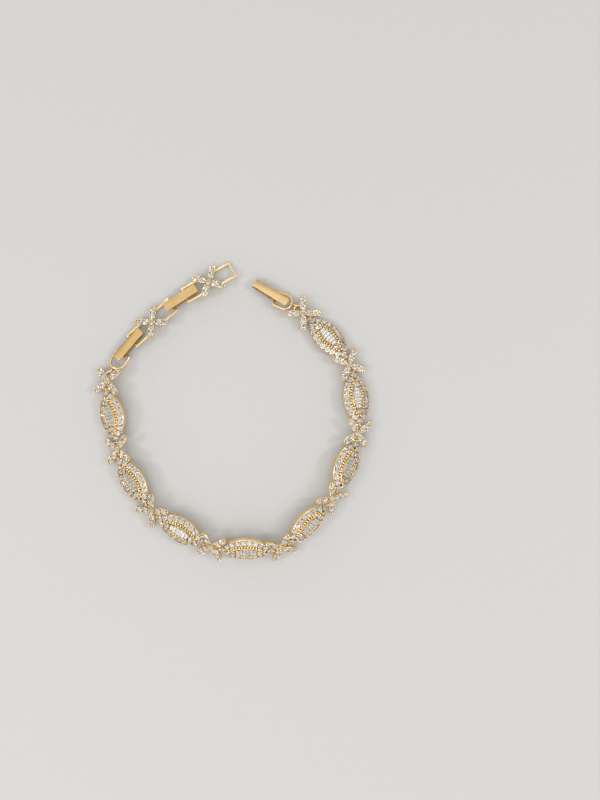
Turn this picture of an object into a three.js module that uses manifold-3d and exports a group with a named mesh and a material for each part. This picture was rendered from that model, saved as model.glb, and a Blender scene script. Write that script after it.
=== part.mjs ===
// Leaf bracelet, lying open on a flat surface. Millimetres, +Z up.
//
// Eight stone-paved leaf links alternate with cross links. One end carries a fold-over clasp on a
// U-shaped frame. The other end carries an extender: two more fold-over bars with a cross link
// after each, the last one ending in a rectangular eye.
//
// Every piece is drawn once in its own frame: x along the bracelet, z up from its back, y across.
// The chain is then walked joint by joint, from the clasp's hinge to the extender's eye.

import * as THREE from 'three';
import { mergeVertices } from 'three/addons/utils/BufferGeometryUtils.js';
import Module from 'manifold-3d';

const wasm = await Module();
wasm.setup();

// ---------------------------------------------------------------- driving dimensions

const JOINT_Z = 0.72; // height of every bar and loop centre above a link's back

const LEAF = {
  length: 13.2,
  width: 6.9,
  tipRadius: 0.8,
  backInset: 0.25, // the back edge is rounded off by this much
  wallTop: 1.15,
  rimTop: 1.35,
  rimWidth: 0.22,
  haloTop: 1.95, // where the sloping band of round stones ends
  innerLength: 9.9,
  innerWidth: 3.9,
  innerTipRadius: 0.6,
  groove: 0.35, // depth of the gallery between the band and the middle field
  grooveLip: 0.2,
  fieldLength: 9.0, // raised field of oblong stones in the middle
  fieldWidth: 2.8,
  fieldTipRadius: 0.7,
  fieldTop: 2.45,
};

const LOOP = {
  reach: 0.3, // hole centre beyond the leaf's tip
  inner: 0.34,
  outer: 0.6,
  half: 0.15, // half the strap's width
  root: 1.1, // how far the legs run back into the leaf
};

const CROSS = {
  armLength: 3.8,
  armWidth: 1.7,
  armTipRadius: 0.5,
  armStart: 0.65, // distance of the arm's inner end from the middle
  footLength: 3.4,
  footWidth: 0.9,
  footTipRadius: 0.3,
  footZ: 0.25,
  waistZ: 1.25, // the arm flares up to here
  top: 1.65,
  hubRadius: 0.78,
  hubTop: 1.72,
  barAt: 2.0, // bar that a leaf's loop hangs on, from the middle
  barRadius: 0.18,
  barHalf: 1.6,
};

const END_LOOP = { centre: 1.75, radius: 1.0, wire: 0.2 }; // half ring in a cross link's notch

const FRAME = {
  railY: 2.0,
  railWidth: 0.6,
  railBottom: 0.44,
  railTop: 1.06,
  railStart: 1.9,
  railEnd: 7.15,
  crossbarAt: 6.85,
  crossbarRadius: 0.26,
  z: 0.75,
};

const CLASP = {
  width: 2.4,
  cornerRadius: 0.5,
  coverBottom: 1.75,
  coverTop: 2.1,
  hingeX: 0.45,
  hingeZ: 1.25,
  earThickness: 0.28,
  earRadius: 0.42,
  earHole: 0.3,
  pinRadius: 0.19,
  trapX: 3.4, // where a caught crossbar lies
  trapZ: 1.29,
  plateHalf: 0.92,
  lugHalf: 0.8,
  plateStart: 0.75,
  plateBottom: 0.15,
  plateTop: 0.5,
  wallTop: 0.82,
  wallThickness: 0.3,
  wallStart: 1.3,
  barrelZ: 0.65,
  barrelRadius: 0.6,
  barrelHole: 0.43,
  lipDepth: 0.45,
  lipThickness: 0.25,
  lipHalf: 0.8,
  lipInset: 0.3,
};

const U_FRAME = {
  width: 4.8, // outside
  wire: 0.35, // radius
  length: 4.75, // from the pivot to the outside of the bend
  cornerRadius: 0.45,
  pinRadius: 0.17,
  pinInner: 0.5,
  turnedEnd: 1.35, // the turned-in end stops here and the thin pin begins
  eyeReach: 0.7, // eye centre beyond the bend
  eyeRadius: 0.72,
  eyeWire: 0.2,
};

// ---------------------------------------------------------------- solids

/** Turns a closed three.js geometry into a manifold solid. */
function toSolid(geometry) {
  const bare = geometry.clone();
  bare.deleteAttribute('normal');
  bare.deleteAttribute('uv');
  const merged = mergeVertices(bare);
  return new wasm.Manifold(new wasm.Mesh({
    numProp: 3,
    vertProperties: new Float32Array(merged.attributes.position.array),
    triVerts: new Uint32Array(merged.index.array),
  }));
}

/** Turns a manifold solid back into a three.js geometry. */
function toGeometry(solid) {
  const { vertProperties, triVerts } = solid.getMesh();
  const geometry = new THREE.BufferGeometry();
  geometry.setAttribute('position', new THREE.BufferAttribute(new Float32Array(vertProperties), 3));
  geometry.setIndex(new THREE.BufferAttribute(new Uint32Array(triVerts), 1));
  geometry.computeVertexNormals();
  return geometry;
}

/** Joins geometries into one solid piece, as soldering does. */
function solder(...geometries) {
  return toGeometry(geometries.map(toSolid).reduce((sum, solid) => sum.add(solid)));
}

/** Cuts one geometry out of another. */
function cutOut(geometry, tool) {
  return toGeometry(toSolid(geometry).subtract(toSolid(tool)));
}

/** A planar arc at a fixed place, drawn in the plane spanned by two unit vectors. */
class Arc extends THREE.Curve {
  constructor(centre, radius, from, to, right, up) {
    super();
    Object.assign(this, { centre, radius, from, to, right, up });
  }

  getPoint(t) {
    const angle = this.from + (this.to - this.from) * t;
    return this.centre.clone()
      .addScaledVector(this.right, this.radius * Math.cos(angle))
      .addScaledVector(this.up, this.radius * Math.sin(angle));
  }
}

const X_AXIS = new THREE.Vector3(1, 0, 0);
const Y_AXIS = new THREE.Vector3(0, 1, 0);
const Z_AXIS = new THREE.Vector3(0, 0, 1);

/** Round wire along a path made of lines and arcs. */
function wire(curves, radius, steps, sides = 6) {
  const path = new THREE.CurvePath();
  curves.forEach((curve) => path.add(curve));
  const section = new THREE.Shape();
  section.setFromPoints(Array.from({ length: sides }, (_, i) => {
    const angle = (2 * Math.PI * i) / sides;
    return new THREE.Vector2(radius * Math.cos(angle), radius * Math.sin(angle));
  }));
  return new THREE.ExtrudeGeometry(section, { steps, extrudePath: path });
}

/** A straight rod along y. */
function crossRod(x, z, radius, y0, y1, sides = 10) {
  return new THREE.CylinderGeometry(radius, radius, y1 - y0, sides)
    .translate(x, (y0 + y1) / 2, z);
}

/** A box given by its lowest and highest corners. */
function block(x0, x1, y0, y1, z0, z1) {
  return new THREE.BoxGeometry(x1 - x0, y1 - y0, z1 - z0)
    .translate((x0 + x1) / 2, (y0 + y1) / 2, (z0 + z1) / 2);
}

/** A flat profile drawn in x and z, given a thickness from y0 to y1. */
function sidePlate(shape, y0, y1) {
  return new THREE.ExtrudeGeometry(shape, { depth: y1 - y0, bevelEnabled: false, curveSegments: 4 })
    .rotateX(Math.PI / 2)
    .translate(0, y1, 0);
}

/**
 * Pointed oval with blunt tips: two side arcs and two tip arcs that meet tangentially.
 * Every outline has the same number of points, so outlines of any size can be lofted together.
 */
function leafOutline(length, width, tipRadius, sideSteps, tipSteps) {
  const halfLength = length / 2;
  const halfWidth = width / 2;
  const sideRadius = (halfLength ** 2 + halfWidth ** 2 - length * tipRadius) / (width - 2 * tipRadius);
  const sideCentre = sideRadius - halfWidth;
  const tipCentre = halfLength - tipRadius;
  const turn = Math.atan2(sideCentre, tipCentre);
  const points = [];
  const arc = (cx, cy, radius, from, to, steps) => {
    for (let i = 0; i < steps; i += 1) {
      const angle = from + ((to - from) * i) / steps;
      points.push(new THREE.Vector2(cx + radius * Math.cos(angle), cy + radius * Math.sin(angle)));
    }
  };
  arc(tipCentre, 0, tipRadius, -turn, turn, tipSteps);
  arc(0, -sideCentre, sideRadius, turn, Math.PI - turn, sideSteps);
  arc(-tipCentre, 0, tipRadius, Math.PI - turn, Math.PI + turn, tipSteps);
  arc(0, sideCentre, sideRadius, Math.PI + turn, 2 * Math.PI - turn, sideSteps);
  return points;
}

/** Closed solid through outlines of equal point count, from the lowest to the highest. */
function loft(sections) {
  const count = sections[0].outline.length;
  const positions = sections.flatMap(({ outline, z }) => outline.flatMap((p) => [p.x, p.y, z]));
  const index = [];
  for (let s = 0; s + 1 < sections.length; s += 1) {
    for (let i = 0; i < count; i += 1) {
      const a = s * count + i;
      const b = s * count + ((i + 1) % count);
      index.push(a, b, b + count, a, b + count, a + count);
    }
  }
  const last = (sections.length - 1) * count;
  for (const [a, b, c] of THREE.ShapeUtils.triangulateShape(sections[0].outline, [])) {
    index.push(c, b, a);
  }
  for (const [a, b, c] of THREE.ShapeUtils.triangulateShape(sections.at(-1).outline, [])) {
    index.push(last + a, last + b, last + c);
  }
  const geometry = new THREE.BufferGeometry();
  geometry.setAttribute('position', new THREE.Float32BufferAttribute(positions, 3));
  geometry.setIndex(index);
  return geometry;
}

// ---------------------------------------------------------------- pieces

/** Upright strap loop at a leaf's tip; direction is +1 or -1 along x. */
function tipLoop(direction) {
  const centreX = LEAF.length / 2 + LOOP.reach;
  const rootX = LEAF.length / 2 - LOOP.root;
  const hairpin = new THREE.Shape()
    .moveTo(rootX, JOINT_Z - LOOP.outer)
    .absarc(centreX, JOINT_Z, LOOP.outer, -Math.PI / 2, Math.PI / 2, false)
    .lineTo(rootX, JOINT_Z + LOOP.outer)
    .lineTo(rootX, JOINT_Z + LOOP.inner)
    .absarc(centreX, JOINT_Z, LOOP.inner, Math.PI / 2, -Math.PI / 2, true)
    .lineTo(rootX, JOINT_Z - LOOP.inner);
  return sidePlate(hairpin, -LOOP.half, LOOP.half)
    .rotateZ(direction > 0 ? 0 : Math.PI);
}

/** Leaf link: domed, with a sloping band for round stones round a raised field. */
function leafLink() {
  const outline = (inset) => leafOutline(
    LEAF.length - 2 * inset, LEAF.width - 2 * inset, LEAF.tipRadius - inset, 8, 3);
  const inner = (inset) => leafOutline(
    LEAF.innerLength - 2 * inset, LEAF.innerWidth - 2 * inset, LEAF.innerTipRadius - inset, 8, 3);
  const shell = loft([
    { outline: outline(LEAF.backInset), z: 0 },
    { outline: outline(0), z: LEAF.backInset },
    { outline: outline(0), z: LEAF.wallTop },
    { outline: outline(LEAF.rimWidth), z: LEAF.rimTop },
    { outline: inner(0), z: LEAF.haloTop },
    { outline: inner(LEAF.grooveLip), z: LEAF.haloTop - LEAF.groove },
  ]);
  const field = leafOutline(LEAF.fieldLength, LEAF.fieldWidth, LEAF.fieldTipRadius, 6, 3);
  const raised = loft([
    { outline: field, z: JOINT_Z },
    { outline: field, z: LEAF.fieldTop },
  ]);
  return solder(shell, raised, tipLoop(1), tipLoop(-1));
}

/** One petal-shaped arm of a cross link, pointing at the given angle. */
function crossArm(angle) {
  const middle = CROSS.armStart + CROSS.armLength / 2;
  const petal = (length, width, tipRadius) => leafOutline(length, width, tipRadius, 4, 2)
    .map((p) => new THREE.Vector2(p.x + middle, p.y));
  return loft([
    { outline: petal(CROSS.footLength, CROSS.footWidth, CROSS.footTipRadius), z: CROSS.footZ },
    { outline: petal(CROSS.armLength, CROSS.armWidth, CROSS.armTipRadius), z: CROSS.waistZ },
    { outline: petal(CROSS.armLength, CROSS.armWidth, CROSS.armTipRadius), z: CROSS.top },
  ]).rotateZ(angle);
}

/** The four arms and the hub that every cross link shares. */
function crossBody() {
  const arms = [1, 3, 5, 7].map((eighth) => crossArm((eighth * Math.PI) / 4));
  const hub = new THREE.CylinderGeometry(
    CROSS.hubRadius, CROSS.hubRadius * 0.8, CROSS.hubTop - CROSS.footZ, 12)
    .rotateX(Math.PI / 2)
    .translate(0, 0, (CROSS.hubTop + CROSS.footZ) / 2);
  return [...arms, hub];
}

/** Bar across a notch, for a leaf's loop; side is +1 or -1 along x. */
function notchBar(side) {
  return crossRod(side * CROSS.barAt, JOINT_Z, CROSS.barRadius, -CROSS.barHalf, CROSS.barHalf, 8);
}

/** Half ring bulging out of a notch, for the eye of a U-shaped frame. */
function endLoop(side) {
  const right = X_AXIS.clone().multiplyScalar(side);
  const centre = new THREE.Vector3(side * END_LOOP.centre, 0, JOINT_Z);
  return wire(
    [new Arc(centre, END_LOOP.radius, -Math.PI / 2, Math.PI / 2, right, Y_AXIS)], END_LOOP.wire, 8);
}

/** Two rails from the arms with a crossbar between them. */
function eyeFrame(side) {
  const [x0, x1] = [side * FRAME.railStart, side * FRAME.railEnd].sort((a, b) => a - b);
  const rails = [-1, 1].map((hand) => block(
    x0, x1,
    hand * FRAME.railY - FRAME.railWidth / 2, hand * FRAME.railY + FRAME.railWidth / 2,
    FRAME.railBottom, FRAME.railTop));
  const bar = crossRod(
    side * FRAME.crossbarAt, FRAME.z, FRAME.crossbarRadius, -FRAME.railY, FRAME.railY, 8);
  return [...rails, bar];
}

/** Two rails from the arms with pivot pins turned in at their ends. */
function pivotFrame(side) {
  const pivotX = side * FRAME.crossbarAt;
  const [rails, pins] = [[], []];
  const [x0, x1] = [side * FRAME.railStart, side * FRAME.railEnd].sort((a, b) => a - b);
  for (const hand of [-1, 1]) {
    const railY = hand * FRAME.railY;
    rails.push(block(
      x0, x1, railY - FRAME.railWidth / 2, railY + FRAME.railWidth / 2,
      FRAME.railBottom, FRAME.railTop));
    const [y0, y1] = [hand * U_FRAME.pinInner, railY].sort((a, b) => a - b);
    pins.push(crossRod(pivotX, FRAME.z, U_FRAME.pinRadius, y0, y1, 8));
    const [c0, c1] = [hand * U_FRAME.turnedEnd, railY].sort((a, b) => a - b);
    pins.push(crossRod(pivotX, FRAME.z, FRAME.railWidth / 2, c0, c1, 8));
  }
  return [...rails, ...pins];
}

/** U-shaped frame: pivot pins at x = 0, bend at +x with an upright eye soldered on. */
function uFrame() {
  const railY = U_FRAME.width / 2 - U_FRAME.wire;
  const bendX = U_FRAME.length - U_FRAME.wire - railY;
  const r = U_FRAME.cornerRadius;
  const at = (x, y) => new THREE.Vector3(x, y, CLASP.barrelZ);
  const body = wire([
    new THREE.LineCurve3(at(0, -U_FRAME.turnedEnd), at(0, -railY + r)),
    new Arc(at(r, -railY + r), r, Math.PI, 1.5 * Math.PI, X_AXIS, Y_AXIS),
    new THREE.LineCurve3(at(r, -railY), at(bendX, -railY)),
    new Arc(at(bendX, 0), railY, -Math.PI / 2, Math.PI / 2, X_AXIS, Y_AXIS),
    new THREE.LineCurve3(at(bendX, railY), at(r, railY)),
    new Arc(at(r, railY - r), r, Math.PI / 2, Math.PI, X_AXIS, Y_AXIS),
    new THREE.LineCurve3(at(0, railY - r), at(0, U_FRAME.turnedEnd)),
  ], U_FRAME.wire, 28, 6);
  const pins = [-1, 1].map((hand) => {
    const [y0, y1] = [hand * U_FRAME.pinInner, hand * (U_FRAME.turnedEnd + 0.2)].sort((a, b) => a - b);
    return crossRod(0, CLASP.barrelZ, U_FRAME.pinRadius, y0, y1, 8);
  });
  const eye = new THREE.TorusGeometry(U_FRAME.eyeRadius, U_FRAME.eyeWire, 6, 12)
    .rotateX(Math.PI / 2)
    .translate(U_FRAME.length + U_FRAME.eyeReach, 0, CLASP.barrelZ);
  return solder(body, ...pins, eye);
}

/** Lower plate of a fold-over clasp: hinge end at x = 0, pivot barrel at pivotX. */
function claspPlate(pivotX) {
  const base = block(
    CLASP.plateStart, pivotX, -CLASP.plateHalf, CLASP.plateHalf, CLASP.plateBottom, CLASP.plateTop);
  const walls = [-1, 1].map((hand) => {
    const [y0, y1] = [hand * CLASP.plateHalf, hand * (CLASP.plateHalf - CLASP.wallThickness)]
      .sort((a, b) => a - b);
    return block(CLASP.wallStart, pivotX, y0, y1, CLASP.plateBottom, CLASP.wallTop);
  });
  const barrel = crossRod(
    pivotX, CLASP.barrelZ, CLASP.barrelRadius, -CLASP.plateHalf, CLASP.plateHalf, 12);
  const hinge = crossRod(
    CLASP.hingeX, CLASP.hingeZ, CLASP.earRadius * 0.9, -CLASP.lugHalf, CLASP.lugHalf, 10);
  const web = sidePlate(new THREE.Shape([
    new THREE.Vector2(CLASP.hingeX, CLASP.hingeZ - 0.3),
    new THREE.Vector2(CLASP.plateStart + 0.05, CLASP.plateBottom + 0.1),
    new THREE.Vector2(CLASP.plateStart + 0.6, CLASP.plateBottom + 0.1),
    new THREE.Vector2(CLASP.hingeX + 0.3, CLASP.hingeZ),
  ]), -CLASP.lugHalf, CLASP.lugHalf);
  const pin = crossRod(
    CLASP.hingeX, CLASP.hingeZ, CLASP.pinRadius, -CLASP.width / 2, CLASP.width / 2, 8);
  const bore = crossRod(pivotX, CLASP.barrelZ, CLASP.barrelHole, -CLASP.width, CLASP.width, 12);
  return cutOut(solder(base, ...walls, barrel, hinge, web, pin), bore);
}

/** Hinged cover of a fold-over clasp, closed. */
function claspCover(length) {
  const half = CLASP.width / 2;
  const r = CLASP.cornerRadius;
  const plan = new THREE.Shape()
    .absarc(length - r, -half + r, r, -Math.PI / 2, 0, false)
    .absarc(length - r, half - r, r, 0, Math.PI / 2, false)
    .absarc(r, half - r, r, Math.PI / 2, Math.PI, false)
    .absarc(r, -half + r, r, Math.PI, 1.5 * Math.PI, false);
  const plate = new THREE.ExtrudeGeometry(plan, {
    depth: CLASP.coverTop - CLASP.coverBottom, bevelEnabled: false, curveSegments: 3,
  }).translate(0, 0, CLASP.coverBottom);
  const ear = new THREE.Shape()
    .absarc(CLASP.hingeX, CLASP.hingeZ, CLASP.earRadius, Math.PI, 2 * Math.PI, false)
    .lineTo(CLASP.hingeX + CLASP.earRadius, CLASP.coverBottom + 0.1)
    .lineTo(CLASP.hingeX - CLASP.earRadius, CLASP.coverBottom + 0.1);
  ear.holes.push(new THREE.Path()
    .absarc(CLASP.hingeX, CLASP.hingeZ, CLASP.earHole, 0, 2 * Math.PI, true));
  const ears = [-1, 1].map((hand) => {
    const [y0, y1] = [hand * half, hand * (half - CLASP.earThickness)].sort((a, b) => a - b);
    return sidePlate(ear, y0, y1);
  });
  const lip = block(
    length - CLASP.lipInset - CLASP.lipThickness, length - CLASP.lipInset,
    -CLASP.lipHalf, CLASP.lipHalf, CLASP.coverBottom - CLASP.lipDepth, CLASP.coverBottom + 0.1);
  return solder(plate, ...ears, lip);
}

// ---------------------------------------------------------------- kinds of piece

const DEG = Math.PI / 180;
const MAIN_CLASP = { length: 10.0, pivotX: 6.7 };
const EXTENDER_BAR = { length: 9.6, pivotX: 7.5 };
const EYE_SLIDE = 25 * DEG; // the extender's eye sits this far round its half ring

const point = (x, z, y = 0) => new THREE.Vector3(x, y, z);
const leafReach = LEAF.length / 2 + LOOP.reach;
const endLoopX = END_LOOP.centre + END_LOOP.radius;
const eyeX = U_FRAME.length + U_FRAME.eyeReach;

// rear and front are the joint centres; turned pieces are drawn facing backwards along the chain.
const KINDS = {
  leaf: {
    rear: point(-leafReach, JOINT_Z),
    front: point(leafReach, JOINT_Z),
    build: (name) => ({ [name]: leafLink() }),
  },
  cross: {
    rear: point(-CROSS.barAt, JOINT_Z),
    front: point(CROSS.barAt, JOINT_Z),
    build: (name) => ({ [name]: solder(...crossBody(), notchBar(-1), notchBar(1)) }),
  },
  crossFirst: {
    rear: point(-endLoopX, JOINT_Z),
    front: point(CROSS.barAt, JOINT_Z),
    build: (name) => ({ [name]: solder(...crossBody(), endLoop(-1), notchBar(1)) }),
  },
  crossLast: {
    rear: point(-CROSS.barAt, JOINT_Z),
    front: point(
      END_LOOP.centre + END_LOOP.radius * Math.cos(EYE_SLIDE), JOINT_Z,
      -END_LOOP.radius * Math.sin(EYE_SLIDE)),
    build: (name) => ({ [name]: solder(...crossBody(), notchBar(-1), endLoop(1)) }),
  },
  crossInExtender: {
    rear: point(-FRAME.crossbarAt, FRAME.z),
    front: point(FRAME.crossbarAt, FRAME.z),
    build: (name) => ({ [name]: solder(...crossBody(), ...eyeFrame(-1), ...pivotFrame(1)) }),
  },
  crossAtEnd: {
    rear: point(-FRAME.crossbarAt, FRAME.z),
    front: point(FRAME.crossbarAt, FRAME.z),
    build: (name) => ({ [name]: solder(...crossBody(), ...eyeFrame(-1), ...eyeFrame(1)) }),
  },
  mainClasp: {
    rear: point(0, CLASP.barrelZ),
    front: point(MAIN_CLASP.pivotX, CLASP.barrelZ),
    build: () => ({
      clasp_plate: claspPlate(MAIN_CLASP.pivotX),
      clasp_cover: claspCover(MAIN_CLASP.length),
    }),
  },
  mainFrame: {
    rear: point(0, CLASP.barrelZ),
    front: point(eyeX, CLASP.barrelZ),
    build: (name) => ({ [name]: uFrame() }),
  },
  extenderFrame: {
    turned: true,
    rear: point(-eyeX, CLASP.barrelZ),
    front: point(0, CLASP.barrelZ),
    build: (name) => ({ [name]: uFrame() }),
  },
  extenderBar: {
    turned: true,
    rear: point(-EXTENDER_BAR.pivotX, CLASP.barrelZ),
    front: point(-CLASP.trapX, CLASP.trapZ),
    build: (name) => ({
      [name.replace('bar', 'plate')]: claspPlate(EXTENDER_BAR.pivotX),
      [name.replace('bar', 'cover')]: claspCover(EXTENDER_BAR.length),
    }),
  },
};

// ---------------------------------------------------------------- the chain as it lies

// Heading is the way a piece points, counterclockwise from +x; lean is how far its face tips to
// the outside of the loop; farHeight is how high its far joint lies above the surface. slideIn and
// slideOut are how far to the left a cross link's neighbours hang on its bars.
const CHAIN = [
  { name: 'clasp', kind: 'mainClasp', heading: -32, lean: 22, farHeight: 1.02 },
  { name: 'clasp_frame', kind: 'mainFrame', heading: -24.4, lean: 20, farHeight: 1.25 },
  { name: 'cross_link_1', kind: 'crossFirst', heading: -42.8, lean: 5,
    farHeight: 1.15, slideOut: 0.28 },
  { name: 'leaf_link_1', kind: 'leaf', heading: -47, lean: 8, farHeight: 1.4 },
  { name: 'cross_link_2', kind: 'cross', heading: -66.4, lean: 12,
    farHeight: 1.4, slideIn: 0.23, slideOut: 0.22 },
  { name: 'leaf_link_2', kind: 'leaf', heading: -83.1, lean: 17, farHeight: 2 },
  { name: 'cross_link_3', kind: 'cross', heading: -102, lean: 22,
    farHeight: 2, slideIn: 0.24, slideOut: -0.02 },
  { name: 'leaf_link_3', kind: 'leaf', heading: -110.6, lean: 30, farHeight: 2.53 },
  { name: 'cross_link_4', kind: 'cross', heading: -128.1, lean: 34,
    farHeight: 2.58, slideIn: 0.25, slideOut: 0.28 },
  { name: 'leaf_link_4', kind: 'leaf', heading: -134.3, lean: 40, farHeight: 2.66 },
  { name: 'cross_link_5', kind: 'cross', heading: -156.2, lean: 40,
    farHeight: 2.64, slideIn: 0.23, slideOut: 0.21 },
  { name: 'leaf_link_5', kind: 'leaf', heading: -181.3, lean: 40, farHeight: 2.63 },
  { name: 'cross_link_6', kind: 'cross', heading: -197.2, lean: 31,
    farHeight: 2.45, slideIn: 0.23, slideOut: 0.28 },
  { name: 'leaf_link_6', kind: 'leaf', heading: -210, lean: 24, farHeight: 1.85 },
  { name: 'cross_link_7', kind: 'cross', heading: -227, lean: 22,
    farHeight: 1.98, slideIn: 0.22, slideOut: 0.13 },
  { name: 'leaf_link_7', kind: 'leaf', heading: -238.7, lean: 25, farHeight: 2.06 },
  { name: 'cross_link_8', kind: 'cross', heading: -260.9, lean: 22,
    farHeight: 2.03, slideIn: 0.21, slideOut: -0.19 },
  { name: 'leaf_link_8', kind: 'leaf', heading: -257.3, lean: 24, farHeight: 1.93 },
  { name: 'cross_link_9', kind: 'crossLast', heading: -277.1, lean: 17,
    farHeight: 1.75, slideIn: 0.21 },
  { name: 'extender_frame', kind: 'extenderFrame', heading: -300.7, lean: 17, farHeight: 0.95 },
  { name: 'extender_bar_1', kind: 'extenderBar', heading: -310.5, lean: 17, farHeight: 1.6 },
  { name: 'cross_link_10', kind: 'crossInExtender', heading: -317.5, lean: 15, farHeight: 1.13 },
  { name: 'extender_bar_2', kind: 'extenderBar', heading: -326.8, lean: 14, farHeight: 1.62 },
  { name: 'cross_link_11', kind: 'crossAtEnd', heading: -330.8, lean: 12, farHeight: 1.05 },
];

const START = new THREE.Vector3(5.2281, 32.4704, 0.95); // the main clasp's rear joint

/** Gold finish of one piece; the clasp parts are smoother than the stone settings. */
function gold(kind) {
  const plain = /Clasp|Frame|Bar/.test(kind);
  return new THREE.MeshStandardMaterial({
    color: plain ? 0xe5c18a : 0xdcb878,
    roughness: plain ? 0.22 : 0.3,
    metalness: 1,
  });
}

/** Walks the chain and returns the group of placed, named meshes. */
function layOut() {
  const bracelet = new THREE.Group();
  const joint = START.clone();
  for (const { name, kind, heading, lean, farHeight, slideIn = 0, slideOut = 0 } of CHAIN) {
    const { turned, build } = KINDS[kind];
    const rear = KINDS[kind].rear.clone().add(point(0, 0, slideIn));
    const front = KINDS[kind].front.clone().add(point(0, 0, slideOut));
    const span = front.clone().sub(rear).applyAxisAngle(X_AXIS, -lean * DEG);
    const pitch = Math.asin((farHeight - joint.z) / Math.hypot(span.x, span.z))
      - Math.atan2(span.z, span.x);
    const link = new THREE.Group();
    link.position.copy(joint);
    link.rotation.set(-lean * DEG, -pitch, heading * DEG, 'ZYX');
    for (const [meshName, geometry] of Object.entries(build(name))) {
      const mesh = new THREE.Mesh(geometry, gold(kind));
      mesh.name = meshName;
      mesh.position.copy(rear).negate();
      mesh.rotation.z = turned ? Math.PI : 0;
      link.add(mesh);
    }
    bracelet.add(link);
    joint.add(front.clone().sub(rear).applyEuler(link.rotation));
  }
  return bracelet;
}

export default layOut();
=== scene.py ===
"""Leaf bracelet: settings, stones, clasps and frames in their finishes, on a plain pale table."""

from __future__ import annotations

import logging
import math
import random
from contextlib import contextmanager
from dataclasses import dataclass, field, replace
from enum import Enum
from typing import Callable, Iterable, Iterator, NamedTuple, Sequence

import bmesh
import bpy
from mathutils import Matrix, Vector

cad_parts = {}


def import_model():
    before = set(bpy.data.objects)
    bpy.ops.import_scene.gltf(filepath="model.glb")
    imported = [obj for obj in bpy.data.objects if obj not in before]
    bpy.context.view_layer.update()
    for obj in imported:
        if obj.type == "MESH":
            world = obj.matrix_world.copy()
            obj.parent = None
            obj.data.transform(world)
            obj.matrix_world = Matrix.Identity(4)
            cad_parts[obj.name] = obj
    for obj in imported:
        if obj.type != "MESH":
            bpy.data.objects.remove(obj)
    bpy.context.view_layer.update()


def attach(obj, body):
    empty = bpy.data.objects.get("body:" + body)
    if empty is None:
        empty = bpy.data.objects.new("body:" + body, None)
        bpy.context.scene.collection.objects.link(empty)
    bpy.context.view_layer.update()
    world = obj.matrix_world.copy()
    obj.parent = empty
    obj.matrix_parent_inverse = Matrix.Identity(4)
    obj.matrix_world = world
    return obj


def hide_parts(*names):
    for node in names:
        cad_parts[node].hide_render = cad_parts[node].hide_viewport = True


MM = 0.001  # pieces are modelled in millimetres and placed in metres
QUARTER = math.pi / 2
Y = Vector((0, 1, 0))
Z = Vector((0, 0, 1))
UPRIGHT = Matrix.Rotation(QUARTER, 4, "X")
SIDES = (-1, 1)
ARM_ANGLES = tuple(math.radians(45 + 90 * i) for i in range(4))
CLOSE = 1e-3  # points and heights this close are the same
SQUARE = 0.9  # a face is square to an axis when its normal's share along it is above this
FLAT = 0.999  # a face is flat when its normal's share along z is above this
CREASE = 40  # soldered pieces are shaded sharp across edges of more degrees than this

# Where links meet, in millimetres from a link's middle and above its back.
JOINT_Z = 0.72  # bars, loops and half rings
LEAF_REACH = 6.9  # a leaf's loop
BAR_AT = 2.0  # the bar that a leaf's loop hangs on
RING_AT = 1.75  # a half ring's centre
RING_RADIUS = 1.0
CROSSBAR_AT = 6.85  # the crossbar or the pins between two rails
CROSSBAR_Z = 0.75
BARREL_Z = 0.65  # a clasp's barrel and the pins that turn in it

log = logging.getLogger("bracelet")

Mesh = bpy.types.Object
Test = Callable[[Vector, Vector], bool]
Colour = tuple[float, float, float]
Flashes = tuple[tuple[float, float, float, float], ...]  # where each colour starts, then the colour
Steps = tuple[tuple[float, float], ...]  # how much narrower each step is than its outline, and its height


# ------------------------------------------------------------------ working at the bench


class Select(Enum):
    """What edit mode selects."""

    VERTS = "VERT"
    FACES = "FACE"


def take(*pieces: Mesh) -> Mesh:
    """Select only these pieces and make the first one active.

    Args:
        pieces: The pieces to select.

    Returns:
        The first piece.
    """
    bpy.ops.object.select_all(action="DESELECT")
    for piece in pieces:
        piece.select_set(True)
    bpy.context.view_layer.objects.active = pieces[0]
    return pieces[0]


@contextmanager
def editing(piece: Mesh, select: Select = Select.FACES) -> Iterator[None]:
    """Edit mode on one piece, starting with nothing selected.

    Args:
        piece: The piece to edit.
        select: What is selected there.
    """
    take(piece)
    bpy.ops.object.mode_set(mode="EDIT")
    bpy.ops.mesh.select_mode(type=select.value)
    bpy.ops.mesh.select_all(action="DESELECT")
    yield
    bpy.ops.object.mode_set(mode="OBJECT")


def pick_faces(piece: Mesh, wanted: Test) -> None:
    """Select the faces whose middle and normal pass a test, in edit mode.

    Args:
        piece: The piece in edit mode.
        wanted: Takes a face's middle and its normal.
    """
    mesh = bmesh.from_edit_mesh(piece.data)
    for face in mesh.faces:
        face.select_set(wanted(face.calc_center_median(), face.normal))
    mesh.select_flush_mode()
    bmesh.update_edit_mesh(piece.data)


def named(name: str) -> Mesh:
    """Name the primitive that was just added.

    Args:
        name: Its name.

    Returns:
        The primitive.
    """
    piece = bpy.context.object
    piece.name = name
    return piece


def rise(height: float, scale_x: float = 1.0, scale_y: float = 1.0) -> None:
    """Extrude what is selected by a height and scale the new end about the origin's axis.

    Args:
        height: How far the new end moves along z.
        scale_x: Its size along x, as a share of what it was.
        scale_y: Its size along y, likewise.
    """
    bpy.ops.mesh.extrude_region_move(TRANSFORM_OT_translate={"value": (0, 0, height)})
    bpy.ops.transform.resize(value=(scale_x, scale_y, 1), center_override=(0, 0, 0))


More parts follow.
